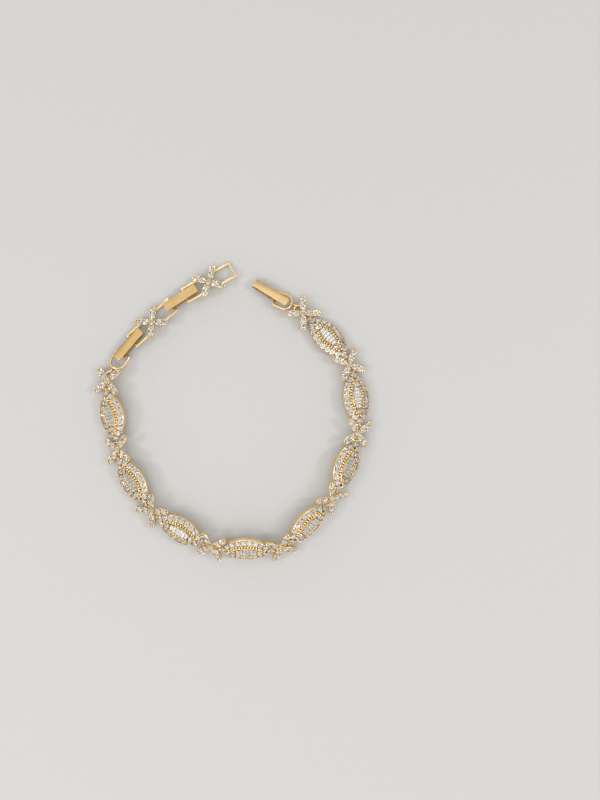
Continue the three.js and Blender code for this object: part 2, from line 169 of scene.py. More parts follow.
def face_out(piece: Mesh, merge: float = 1e-4) -> Mesh:
    """Merge doubled points and point every face outwards.

    Args:
        piece: The piece to clean.
        merge: Points closer than this become one.

    Returns:
        The same piece.
    """
    with editing(piece, Select.VERTS):
        bpy.ops.mesh.select_all(action="SELECT")
        bpy.ops.mesh.remove_doubles(threshold=merge)
        bpy.ops.mesh.normals_make_consistent(inside=False)
    return piece


def smooth(piece: Mesh, degrees: float = 35) -> Mesh:
    """Shade a piece smooth, except across sharp edges.

    Args:
        piece: The piece.
        degrees: Edges sharper than this stay sharp.

    Returns:
        The same piece.
    """
    take(piece)
    bpy.ops.object.shade_smooth_by_angle(angle=math.radians(degrees))
    return piece


def soften(piece: Mesh, width: float, segments: int = 2, degrees: float = 30) -> Mesh:
    """Round a piece's sharp edges with a bevel.

    Args:
        piece: The piece.
        width: The bevel's width.
        segments: Its steps.
        degrees: Edges sharper than this are rounded.

    Returns:
        The same piece.
    """
    take(piece)
    bevel = piece.modifiers.new("soften", "BEVEL")
    bevel.width = width
    bevel.segments = segments
    bevel.limit_method = "ANGLE"
    bevel.angle_limit = math.radians(degrees)
    bevel.harden_normals = False
    bpy.ops.object.modifier_apply(modifier=bevel.name)
    return piece


def clone(piece: Mesh, name: str, place: Matrix = Matrix.Identity(4)) -> Mesh:
    """Copy a piece with a mesh of its own.

    Args:
        piece: The piece to copy.
        name: The copy's name.
        place: What the copy's mesh is moved by.

    Returns:
        The copy.
    """
    copy = piece.copy()
    copy.data = piece.data.copy()
    copy.data.transform(place)
    copy.name = name
    bpy.context.scene.collection.objects.link(copy)
    return copy


def join(name: str, pieces: Sequence[Mesh]) -> Mesh:
    """Join pieces into one.

    Args:
        name: The joined piece's name.
        pieces: The pieces, which are used up.

    Returns:
        The joined piece.
    """
    take(*pieces)
    if len(pieces) > 1:
        bpy.ops.object.join()
    pieces[0].name = name
    return pieces[0]


def scatter(name: str, model: Mesh, places: Iterable[Matrix]) -> Mesh:
    """Copy a model to each place, join the copies and remove the model.

    Args:
        name: The joined piece's name.
        model: The shape that repeats.
        places: Where each copy goes.

    Returns:
        The joined piece.
    """
    copies = [clone(model, name, place) for place in places]
    discard(model)
    return join(name, copies)


def discard(piece: Mesh) -> None:
    """Remove a model that is no longer needed."""
    bpy.data.objects.remove(piece)


def cylinder(name: str, radius: float, start: Vector, end: Vector, sides: int = 16) -> Mesh:
    """Add a closed cylinder between two points.

    Args:
        name: The piece's name.
        radius: Its radius.
        start: The middle of one end.
        end: The middle of the other.
        sides: How many sides it has.

    Returns:
        The cylinder.
    """
    along = end - start
    bpy.ops.object.select_all(action="DESELECT")
    bpy.ops.mesh.primitive_cylinder_add(vertices=sides, radius=radius, depth=along.length)
    piece = named(name)
    turn = Z.rotation_difference(along.normalized()).to_matrix().to_4x4()
    piece.data.transform(Matrix.Translation((start + end) / 2) @ turn)
    return piece


def rod(name: str, radius: float, x: float, half: float, z: float, sides: int = 16) -> Mesh:
    """Add a closed cylinder that lies across a link.

    Args:
        name: The piece's name.
        radius: Its radius.
        x: How far along the link it lies.
        half: How far it reaches to either side.
        z: Its height.
        sides: How many sides it has.

    Returns:
        The cylinder.
    """
    return cylinder(name, radius, Vector((x, -half, z)), Vector((x, half, z)), sides)


def bar(name: str, low: Sequence[float], high: Sequence[float], edge: float) -> Mesh:
    """Add a rectangular bar with rounded edges.

    Args:
        name: The piece's name.
        low: Its lowest corner.
        high: Its highest corner.
        edge: How wide its edges are rounded.

    Returns:
        The bar.
    """
    low, high = Vector(low), Vector(high)
    bpy.ops.object.select_all(action="DESELECT")
    bpy.ops.mesh.primitive_cube_add(size=1)
    piece = named(name)
    piece.data.transform(Matrix.Translation((low + high) / 2) @ Matrix.Diagonal((*(high - low), 1)))
    return soften(piece, edge)


def bore(tube: Mesh, wall: float) -> Mesh:
    """Open a cylinder that lies across a link into a tube.

    Args:
        tube: The cylinder.
        wall: Thickness of the tube's wall.

    Returns:
        The same piece.
    """
    with editing(tube):
        pick_faces(tube, lambda at, n: abs(n.y) > SQUARE)
        bpy.ops.mesh.inset(thickness=wall)
        bpy.ops.mesh.bridge_edge_loops()
    return face_out(tube)


class Pen:
    """Draws an outline or a wire's path in the xy plane, one stroke after another."""

    def __init__(self, name: str, x: float, y: float) -> None:
        """Put the pen down at a point.

        Args:
            name: The drawn piece's name.
            x: Where the first stroke starts.
            y: Likewise.
        """
        bpy.ops.object.select_all(action="DESELECT")
        bpy.ops.mesh.primitive_plane_add(size=1)
        self.piece = named(name)
        bpy.ops.object.mode_set(mode="EDIT")
        bpy.ops.mesh.select_mode(type="VERT")
        bpy.ops.mesh.select_all(action="SELECT")
        bpy.ops.mesh.merge(type="CENTER")
        bpy.ops.transform.translate(value=(x, y, 0))
        self.at = Vector((x, y, 0))

    def line(self, x: float, y: float) -> Pen:
        """Draw a straight stroke.

        Args:
            x: Where it ends.
            y: Likewise.

        Returns:
            The pen.
        """
        end = Vector((x, y, 0))
        bpy.ops.mesh.extrude_vertices_move(TRANSFORM_OT_translate={"value": end - self.at})
        self.at = end
        return self

    def arc(self, x: float, y: float, turn: float, steps: int) -> Pen:
        """Draw an arc round a centre.

        Args:
            x: The arc's centre.
            y: Likewise.
            turn: How far round it goes, counterclockwise.
            steps: How many straight steps it takes.

        Returns:
            The pen.
        """
        centre = Vector((x, y, 0))
        bpy.ops.mesh.spin(steps=steps, angle=-turn, center=centre, axis=(0, 0, 1))
        self.at = centre + Matrix.Rotation(turn, 3, "Z") @ (self.at - centre)
        return self

    def path(self) -> Mesh:
        """Lift the pen and leave the strokes as a path.

        Returns:
            The path.
        """
        bpy.ops.mesh.select_all(action="SELECT")
        bpy.ops.mesh.remove_doubles(threshold=CLOSE)
        bpy.ops.object.mode_set(mode="OBJECT")
        return self.piece

    def sheet(self) -> Mesh:
        """Lift the pen and fill the closed outline.

        Returns:
            The outline as one face.
        """
        bpy.ops.mesh.select_all(action="SELECT")
        bpy.ops.mesh.remove_doubles(threshold=CLOSE)
        bpy.ops.mesh.edge_face_add()
        bpy.ops.object.mode_set(mode="OBJECT")
        return self.piece


def drawn_wire(path: Mesh, radius: float, extra_sides: int = 3) -> Mesh:
    """Turn a drawn path into round wire.

    Args:
        path: The path, which is used up.
        radius: The wire's radius.
        extra_sides: Pairs of sides past the first four.

    Returns:
        The wire.
    """
    take(path)
    bpy.ops.object.convert(target="CURVE")
    path.data.bevel_depth = radius
    path.data.bevel_resolution = extra_sides
    path.data.use_fill_caps = True
    bpy.ops.object.convert(target="MESH")
    return face_out(path)


def thicken(sheet: Mesh, depth: float) -> Mesh:
    """Give a flat sheet a thickness upwards.

    Args:
        sheet: The sheet.
        depth: How thick it gets.

    Returns:
        The same piece.
    """
    with editing(sheet):
        bpy.ops.mesh.select_all(action="SELECT")
        rise(depth)
    return face_out(sheet)


# ------------------------------------------------------------------ outlines


@dataclass(frozen=True)
class PointedOval:
    """Leaf outline with blunt tips: two side arcs and two tip arcs that meet smoothly.

    Attributes:
        length: Tip to tip.
        width: Across the middle.
        tip: Radius of the tips.
    """

    length: float
    width: float
    tip: float

    @property
    def side_radius(self) -> float:
        """Radius of the side arcs.

        Returns:
            The radius that makes them meet the tip arcs smoothly.
        """
        half_length, half_width = self.length / 2, self.width / 2
        squares = half_length**2 + half_width**2
        return (squares - self.length * self.tip) / (self.width - 2 * self.tip)

    @property
    def side_centre(self) -> float:
        """Distance of a side arc's centre from the long axis."""
        return self.side_radius - self.width / 2

    @property
    def tip_centre(self) -> float:
        """Distance of a tip arc's centre from the middle."""
        return self.length / 2 - self.tip

    @property
    def turn(self) -> float:
        """Half the angle that a tip arc goes through."""
        return math.atan2(self.side_centre, self.tip_centre)

    def sheet(self, name: str, side_steps: int, tip_steps: int) -> Mesh:
        """Draw the outline as one flat face.

        Args:
            name: The piece's name.
            side_steps: Steps along each side arc.
            tip_steps: Steps along each tip arc.

        Returns:
            The face, at z = 0.
        """
        turn, side = self.turn, math.pi - 2 * self.turn
        start = self.tip_centre + self.tip * math.cos(turn)
        pen = Pen(name, start, -self.tip * math.sin(turn))
        pen.arc(self.tip_centre, 0, 2 * turn, tip_steps).arc(0, -self.side_centre, side, side_steps)
        pen.arc(-self.tip_centre, 0, 2 * turn, tip_steps).arc(0, self.side_centre, side, side_steps)
        return pen.sheet()

    def station(self, share: float) -> tuple[Vector, float]:
        """Find a point on the outline.

        Args:
            share: How far round it lies, from the front tip, as a share of the whole way.

        Returns:
            The point, and the direction straight outwards there as an angle.
        """
        turn, side = self.turn, math.pi - 2 * self.turn
        arcs = [
            (Vector((self.tip_centre, 0, 0)), self.tip, 0.0, turn),
            (Vector((0, -self.side_centre, 0)), self.side_radius, turn, side),
            (Vector((-self.tip_centre, 0, 0)), self.tip, math.pi - turn, 2 * turn),
            (Vector((0, self.side_centre, 0)), self.side_radius, math.pi + turn, side),
            (Vector((self.tip_centre, 0, 0)), self.tip, 2 * math.pi - turn, turn),
        ]
        left = (share % 1) * sum(radius * sweep for _, radius, _, sweep in arcs)
        for centre, radius, start, sweep in arcs:
            if left <= radius * sweep:
                angle = start + left / radius
                return centre + radius * Vector((math.cos(angle), math.sin(angle), 0)), angle
            left -= radius * sweep
        return arcs[0][0] + Vector((self.tip, 0, 0)), 0.0


class Section(NamedTuple):
    """One level of a lofted shape.

    Attributes:
        length: Its length.
        width: Its width.
        height: Its height.
    """

    length: float
    width: float
    height: float


def stepped(length: float, width: float, steps: Steps) -> list[Section]:
    """Turn the steps of a wall into sections."""
    return [Section(length - inset, width - inset, height) for inset, height in steps]


def loft(sheet: Mesh, sections: Sequence[Section]) -> Mesh:
    """Raise a flat outline through its sections, as one closed shell.

    Args:
        sheet: The outline, drawn with the first section's length and width.
        sections: The levels, from the back upwards.

    Returns:
        The shell.
    """
    with editing(sheet):
        bpy.ops.mesh.select_all(action="SELECT")
        bpy.ops.transform.translate(value=(0, 0, sections[0].height))
        for below, above in zip(sections, sections[1:]):
            rise(above.height - below.height, above.length / below.length, above.width / below.width)
    return face_out(sheet)


# ------------------------------------------------------------------ finishes


def add_node(nodes: bpy.types.Nodes, kind: str, **settings: object) -> bpy.types.Node:
    """Add a shader node and set it up.

    Args:
        nodes: The material's nodes.
        kind: The node's type name.
        settings: Its properties by name, and its sockets' values by name with spaces as underscores.

    Returns:
        The node.
    """
    node = nodes.new(kind)
    for name, value in settings.items():
        if hasattr(node, name):
            setattr(node, name, value)
        else:
            node.inputs[name.replace("_", " ")].default_value = value
    return node


def blank_material(name: str) -> tuple[bpy.types.Material, bpy.types.Nodes, bpy.types.NodeLinks]:
    """Make a material with only a surface shader and its output.

    Args:
        name: The material's name.

    Returns:
        The material, its nodes and its links.
    """
    material = bpy.data.materials.new(name)
    material.use_nodes = True
    return material, material.node_tree.nodes, material.node_tree.links


def set_steps(ramp: bpy.types.Node, flashes: Flashes) -> None:
    """Set the colours of a colour ramp.

    Args:
        ramp: The ramp's node.
        flashes: Its colours.
    """
    steps = ramp.color_ramp.elements
    steps.remove(steps[1])
    for i, (start, *colour) in enumerate(flashes):
        step = steps[0] if i == 0 else steps.new(start)
        step.position, step.color = start, (*colour, 1)


@dataclass(frozen=True)
class GoldFinish:
    """Pale gold plating, polished, with soft colour changes and fine handling marks.

    Attributes:
        name: The material's name.
        light: Colour where the plating is palest.
        deep: Colour where it is deepest.
        roughness: Roughness of the polish, smoothest and dullest.
        marks: Depth of the handling marks, in millimetres.
        grain: Marks per metre.
        stretch: How much longer than wide the marks are.
        clouds: Colour changes per metre.
    """

    name: str
    light: Colour
    deep: Colour
    roughness: tuple[float, float]
    marks: float
    grain: float
    stretch: float = 1.0
    clouds: float = 350.0

    def material(self) -> bpy.types.Material:
        """Build the finish as a procedural material.

        Returns:
            The material.
        """
        material, nodes, links = blank_material(self.name)
        shader = nodes["Principled BSDF"]
        shader.inputs["Metallic"].default_value = 1.0
        place = add_node(nodes, "ShaderNodeTexCoord")
        cloud = add_node(nodes, "ShaderNodeTexNoise", Scale=self.clouds, Detail=4.0, Roughness=0.6)
        colour = add_node(nodes, "ShaderNodeMix", data_type="RGBA")
        colour.inputs["A"].default_value = (*self.light, 1)
        colour.inputs["B"].default_value = (*self.deep, 1)
        links.new(place.outputs["Object"], cloud.inputs["Vector"])
        spread = add_node(nodes, "ShaderNodeMapRange", From_Min=0.35, From_Max=0.65)
        links.new(cloud.outputs["Fac"], spread.inputs["Value"])
        links.new(spread.outputs["Result"], colour.inputs["Factor"])
        links.new(colour.outputs["Result"], shader.inputs["Base Color"])
        stretched = add_node(nodes, "ShaderNodeMapping")
        stretched.inputs["Scale"].default_value = (1.0, 1.0 / self.stretch, 1.0)
        marks = add_node(nodes, "ShaderNodeTexNoise", Scale=self.grain, Detail=6.0, Roughness=0.65)
        links.new(place.outputs["Object"], stretched.inputs["Vector"])
        links.new(stretched.outputs["Vector"], marks.inputs["Vector"])
        dull = add_node(nodes, "ShaderNodeMapRange", From_Min=0.3, From_Max=0.7)
        dull.inputs["To Min"].default_value = self.roughness[0]
        dull.inputs["To Max"].default_value = self.roughness[1]
        links.new(marks.outputs["Fac"], dull.inputs["Value"])
        links.new(dull.outputs["Result"], shader.inputs["Roughness"])
        bump = add_node(nodes, "ShaderNodeBump", Strength=0.6, Distance=self.marks * MM)
        links.new(marks.outputs["Fac"], bump.inputs["Height"])
        links.new(bump.outputs["Normal"], shader.inputs["Normal"])
        return material


@dataclass(frozen=True)
class StoneFinish:
    """Colourless cut stone whose facets carry painted flashes: each facet's colour, bright, tinted or
    dark, is painted light and shade.

    Attributes:
        name: The material's name.
        flashes: Colour of the facets from each painted flash value upwards: painted glints, coloured fire
            and dark reflections.
        index: Refractive index.
        see_through: How much light goes through.
        metal: How much it reflects like a mirror.
        roughness: Roughness of the polish.
    """

    name: str
    flashes: Flashes
    index: float
    see_through: float
    metal: float
    roughness: float

    def material(self) -> bpy.types.Material:
        """Build the finish as a procedural material.

        Returns:
            The material.
        """
        material, nodes, links = blank_material(self.name)
        shader = nodes["Principled BSDF"]
        shader.inputs["Roughness"].default_value = self.roughness
        shader.inputs["IOR"].default_value = self.index
        shader.inputs["Transmission Weight"].default_value = self.see_through
        shader.inputs["Metallic"].default_value = self.metal
        # The ramp paints each facet's light or shade: glints, coloured fire and dark reflections.
        tint = add_node(nodes, "ShaderNodeAttribute", attribute_name="tint")
        ramp = add_node(nodes, "ShaderNodeValToRGB")
        ramp.color_ramp.interpolation = "CONSTANT"
        set_steps(ramp, self.flashes)
        links.new(tint.outputs["Fac"], ramp.inputs["Fac"])
        links.new(ramp.outputs["Color"], shader.inputs["Base Color"])
        return material


@dataclass(frozen=True)
class TableFinish:
    """Matt pale table top with a fine even grain.

    Attributes:
        name: The material's name.
        light: Its paler colour.
        deep: Its darker colour.
        roughness: How matt it is.
        grain: Grains per metre.
    """

    name: str
    light: Colour
    deep: Colour
    roughness: float
    grain: float

    def material(self) -> bpy.types.Material:
        """Build the finish as a procedural material.

        Returns:
            The material.
        """
        material, nodes, links = blank_material(self.name)
        shader = nodes["Principled BSDF"]
        shader.inputs["Roughness"].default_value = self.roughness
        place = add_node(nodes, "ShaderNodeTexCoord")
        grain = add_node(nodes, "ShaderNodeTexNoise", Scale=self.grain, Detail=5.0)
        colour = add_node(nodes, "ShaderNodeMix", data_type="RGBA")
        colour.inputs["A"].default_value = (*self.deep, 1)
        colour.inputs["B"].default_value = (*self.light, 1)
        links.new(place.outputs["Object"], grain.inputs["Vector"])
        links.new(grain.outputs["Fac"], colour.inputs["Factor"])
        links.new(colour.outputs["Result"], shader.inputs["Base Color"])
        return material


LEAF_GOLD = GoldFinish(
    "leaf_gold", light=(0.85, 0.67, 0.385), deep=(0.76, 0.555, 0.27),
    roughness=(0.14, 0.28), marks=0.01, grain=2600)
CROSS_GOLD = replace(LEAF_GOLD, name="cross_gold")
# Painted shade: dark gold on the beds under and between the stones, standing in for the shadow there.
RECESS_PAINTED_SHADE = replace(
    LEAF_GOLD, name="recess_painted_shade",
    light=(0.32, 0.23, 0.11), deep=(0.22, 0.15, 0.07), roughness=(0.3, 0.45))
PLAIN_GOLD = GoldFinish(
    "plain_gold", light=(0.74, 0.52, 0.30), deep=(0.67, 0.49, 0.21),
    roughness=(0.22, 0.27), marks=0.0006, grain=1200, stretch=3)
# Painted shade: the extender bars have the same plating as the clasp, made darker so they look less lit.
SHADED_BAR_GOLD = replace(PLAIN_GOLD, name="bar_gold", light=(0.63, 0.42, 0.22), deep=(0.55, 0.39, 0.15))
# Painted flashes on the stones: bright, tinted and dark facet colours that stand in for glints and
# reflections.
PAINTED_FLASHES = (
    (0.0, 1.0, 0.97, 0.90),
    (0.26, 0.86, 0.80, 0.67),
    (0.33, 1.0, 0.94, 0.80),
    (0.46, 0.98, 0.91, 0.93),
    (0.56, 1.0, 0.98, 0.92),
    (0.72, 0.76, 0.70, 0.58),
    (0.79, 0.46, 0.40, 0.34),
    (0.86, 1.0, 0.95, 0.86),
)
# Painted flashes on the metal foil under the stones: its facets' glints and dark reflections are painted
# in.
PAINTED_FOIL_FLASHES = (
    (0.0, 1.0, 0.97, 0.90),
    (0.26, 0.82, 0.76, 0.62),
    (0.33, 1.0, 0.95, 0.82),
    (0.46, 0.98, 0.91, 0.92),
    (0.56, 1.0, 0.96, 0.87),
    (0.72, 0.68, 0.62, 0.51),
    (0.80, 0.36, 0.31, 0.26),
    (0.88, 1.0, 0.97, 0.90),
)
CLEAR_STONE = StoneFinish(
    "clear_stone", PAINTED_FLASHES, index=2.1, see_through=0.85, metal=0.0, roughness=0.02)
OBLONG_STONE = replace(CLEAR_STONE, name="oblong_stone", see_through=0.15)
PALE_TABLE = TableFinish(
    "pale_table", light=(0.425, 0.42, 0.416), deep=(0.40, 0.396, 0.392), roughness=0.6, grain=900.0)
# The foil's facet colours are painted light and shade.
FOIL = StoneFinish("stone_foil", PAINTED_FOIL_FLASHES, index=1.5, see_through=0.0, metal=1.0, roughness=0.06)


class Wardrobe:
    """Holds one material for each finish, made when it is first used."""

    def __init__(self) -> None:
        """Start with nothing made."""
        self.made: dict[str, bpy.types.Material] = {}

    def dress(self, piece: Mesh, *finishes: GoldFinish | StoneFinish) -> Mesh:
        """Give a piece its finishes, one for each material slot.

        Args:
            piece: The piece.
            finishes: Its finishes in order.

        Returns:
            The same piece.
        """
        for finish in finishes:
            if finish.name not in self.made:
                self.made[finish.name] = finish.material()
            piece.data.materials.append(self.made[finish.name])
        return piece


# ------------------------------------------------------------------ stones and claws


@dataclass(frozen=True)
class RoundStone:
    """Round brilliant: table, ring of twisted crown facets, girdle and pavilion.

    Attributes:
        diameter: Across the girdle.
        sides: Facets round the girdle.
        crown: Height of the crown above the girdle.
        table: Table's width as a share of the diameter.
        girdle: Height of the girdle.
        pavilion: Depth of the pavilion.
        culet: Width of its lower end as a share of the diameter.
    """

    diameter: float
    sides: int = 10
    crown: float = 0.17
    table: float = 0.56
    girdle: float = 0.04
    pavilion: float = 0.24
    culet: float = 0.12

    def cut(self, name: str) -> Mesh:
        """Cut the stone, with the girdle's top at z = 0.

        Args:
            name: The piece's name.

        Returns:
            The stone; its pavilion has the second material.
        """
        bpy.ops.object.select_all(action="DESELECT")
        bpy.ops.mesh.primitive_circle_add(vertices=self.sides, radius=self.diameter / 2, fill_type="NGON")
        stone = named(name)
        with editing(stone):
            bpy.ops.mesh.select_all(action="SELECT")
            rise(self.crown, self.table, self.table)
            half_facet = math.pi / self.sides
            bpy.ops.transform.rotate(value=half_facet, orient_axis="Z", center_override=(0, 0, 0))
        with editing(stone):
            pick_faces(stone, lambda at, n: abs(n.z) < FLAT)
            bpy.ops.mesh.quads_convert_to_tris(quad_method="SHORTEST_DIAGONAL")
        with editing(stone):
            pick_faces(stone, lambda at, n: at.z < CLOSE)
            rise(-self.girdle)
            rise(-self.pavilion, self.culet, self.culet)
        face_out(stone)
        return back_with_foil(stone, -self.girdle)


@dataclass(frozen=True)
class Baguette:
    """Step-cut oblong stone: two crown steps, girdle and keel.

    Attributes:
        width: Its longer side, across the link.
        length: Its shorter side, along the link.
        crown: Height of the crown.
        girdle: Height of the girdle.
        pavilion: Depth of the keel.
        corner: How far its corners are cut back.
        step: Width of a crown step, as a share of the length.
        lower_crown: Share of the crown's height in its lower step.
        table: Length that the upper step leaves, as a share of the lower one's.
        keel: Steps of the keel, as shares of its depth and of the length and width above.
    """

    width: float
    length: float
    crown: float = 0.16
    girdle: float = 0.04
    pavilion: float = 0.32
    corner: float = 0.17
    step: float = 0.16
    lower_crown: float = 0.65
    table: float = 0.66
    keel: tuple[tuple[float, float, float], ...] = ((0.55, 0.6, 0.82), (0.45, 0.15, 0.7))

    def cut(self, name: str) -> Mesh:
        """Cut the stone, with the girdle's top at z = 0.

        Args:
            name: The piece's name.

        Returns:
            The stone; its keel has the second material and the rest the third.
        """
        bpy.ops.object.select_all(action="DESELECT")
        bpy.ops.mesh.primitive_plane_add(size=1)
        stone = named(name)
        across = 1 - 2 * self.step * self.length / self.width
        with editing(stone):
            bpy.ops.mesh.select_all(action="SELECT")
            bpy.ops.transform.resize(value=(self.length, self.width, 1), center_override=(0, 0, 0))
            bpy.ops.mesh.bevel(offset=self.corner, segments=1, affect="VERTICES")
            rise(self.crown * self.lower_crown, 1 - 2 * self.step, across)
            rise(self.crown * (1 - self.lower_crown), self.table, across)
        with editing(stone):
            pick_faces(stone, lambda at, n: at.z < CLOSE)
            rise(-self.girdle)
            for depth, length, width in self.keel:
                rise(-self.pavilion * depth, length, width)
        face_out(stone)
        return back_with_foil(stone, -self.girdle, 2)


def back_with_foil(stone: Mesh, below: float, above: int = 0) -> Mesh:
    """Give a stone's faces below a height its second material.

    Args:
        stone: The stone.
        below: The height.
        above: Index of the material that the other faces have.

    Returns:
        The same stone.
    """
    for face in stone.data.polygons:
        face.material_index = 1 if face.center.z < below - CLOSE else above
    return stone


@dataclass(frozen=True)
class Claw:
    """Small gold post with a domed head that holds a stone's edge.

    Attributes:
        radius: Radius of the head.
        height: Height of the head's top above its place.
        depth: How far the post goes down below it.
        sides: Sides of the post.
        cut: How far below its middle the head is cut, as a share of its radius.
        taper: Width of the post's foot as a share of its top.
    """

    radius: float
    height: float
    depth: float
    sides: int = 8
    cut: float = 0.1
    taper: float = 0.85

    def form(self, name: str) -> Mesh:
        """Form the claw, standing along z.

        Args:
            name: The piece's name.

        Returns:
            The claw.
        """
        bpy.ops.object.select_all(action="DESELECT")
        bpy.ops.mesh.primitive_uv_sphere_add(segments=self.sides, ring_count=6, radius=self.radius)
        claw = named(name)
        lift = self.height - self.radius
        with editing(claw, Select.VERTS):
            bpy.ops.mesh.select_all(action="SELECT")
            bpy.ops.mesh.bisect(plane_co=(0, 0, -self.cut * self.radius), plane_no=Z, clear_inner=True)
        with editing(claw, Select.VERTS):
            bpy.ops.mesh.select_non_manifold()
            rise(-self.depth - lift, self.taper, self.taper)
            bpy.ops.mesh.edge_face_add()
            bpy.ops.mesh.select_all(action="SELECT")
            bpy.ops.transform.translate(value=(0, 0, lift))
        return smooth(face_out(claw), 60)


FLASH_PAINT_SPREAD = 0.2  # how far a facet's painted flash value may lie from its stone's own
ASKEW = Vector((0.6173, 0.2931, 0.7297))  # no two facets of a stone lie level along this


def paint_stone_flashes(stones: Mesh, faces_each: Sequence[int], seed: int) -> Mesh:
    """Write a painted flash value for each facet, drawn round its stone's own value; it picks the facet's
    painted light or shade.

    Extruded facets are numbered differently from run to run, so they are drawn in order of their place.

    Args:
        stones: The joined stones.
        faces_each: How many facets each stone has, in order.
        seed: Seed of the random draw.

    Returns:
        The same stones.
    """
    draw = random.Random(seed)
    places = [face.center.dot(ASKEW) for face in stones.data.polygons]
    values = [0.0] * len(places)
    first = 0
    for count in faces_each:
        own = draw.random()
        for i in sorted(range(first, first + count), key=places.__getitem__):
            values[i] = (own + draw.uniform(-FLASH_PAINT_SPREAD, FLASH_PAINT_SPREAD)) % 1
        first += count
    tint = stones.data.attributes.new("tint", "FLOAT", "FACE")
    tint.data.foreach_set("value", values)
    return stones


def set_stones(name: str, beds: Sequence[tuple[Mesh, Sequence[Matrix]]], seed: int) -> Mesh:
    """Copy each kind of stone to its beds and join them all.

    Args:
        name: The joined piece's name.
        beds: Each kind of stone with its places.
        seed: Seed of the painted flashes.

    Returns:
        The stones of one link.
    """
    copies = [clone(stone, name, place) for stone, places in beds for place in places]
    counts = [len(copy.data.polygons) for copy in copies]
    for stone, _ in beds:
        discard(stone)
    return paint_stone_flashes(join(name, copies), counts, seed)


def standing(at: Vector, outwards: float, tip: float, spin: float = 0.0) -> Matrix:
    """Place something upright on a bed that slopes outwards.

    Args:
        at: Where it stands.
        outwards: Direction of the slope, as an angle round z.
        tip: How far it tips that way.
        spin: How far it is turned on its own axis first.

    Returns:
        The placing matrix.
    """
    turn = Matrix.Rotation(outwards, 4, "Z") @ Matrix.Rotation(tip, 4, "Y")
    return Matrix.Translation(at) @ turn @ Matrix.Rotation(spin, 4, "Z")


# ------------------------------------------------------------------ links


def paint_bed_shade(setting: Mesh, heights: Sequence[float]) -> Mesh:
    """Give a setting's beds its second material, a dark gold that paints shade on them: the upward faces
    whose middles lie at certain heights.

    Args:
        setting: The setting.
        heights: The beds' heights.

    Returns:
        The same setting.
    """
    # The beds' material is dark gold that paints shade where the stones sit.
    for face in setting.data.polygons:
        bed = any(abs(face.center.z - z) < CLOSE for z in heights)
        face.material_index = 1 if bed and face.normal.z > SQUARE else 0
    return setting


def facing(side: int) -> Matrix:
    """Turn a fitting to the front of its link for 1, or to its rear for -1."""
    return Matrix.Rotation(0 if side > 0 else math.pi, 4, "Z")


def raised(height: float) -> Matrix:
    """Lift something straight up."""
    return Matrix.Translation((0, 0, height))


class Parts(NamedTuple):
    """The pieces of one stone-set link.

    Attributes:
        setting: Its gold setting.
        stones: Its stones.
        claws: Its claws and beads.
    """

    setting: Mesh
    stones: Mesh
    claws: Mesh


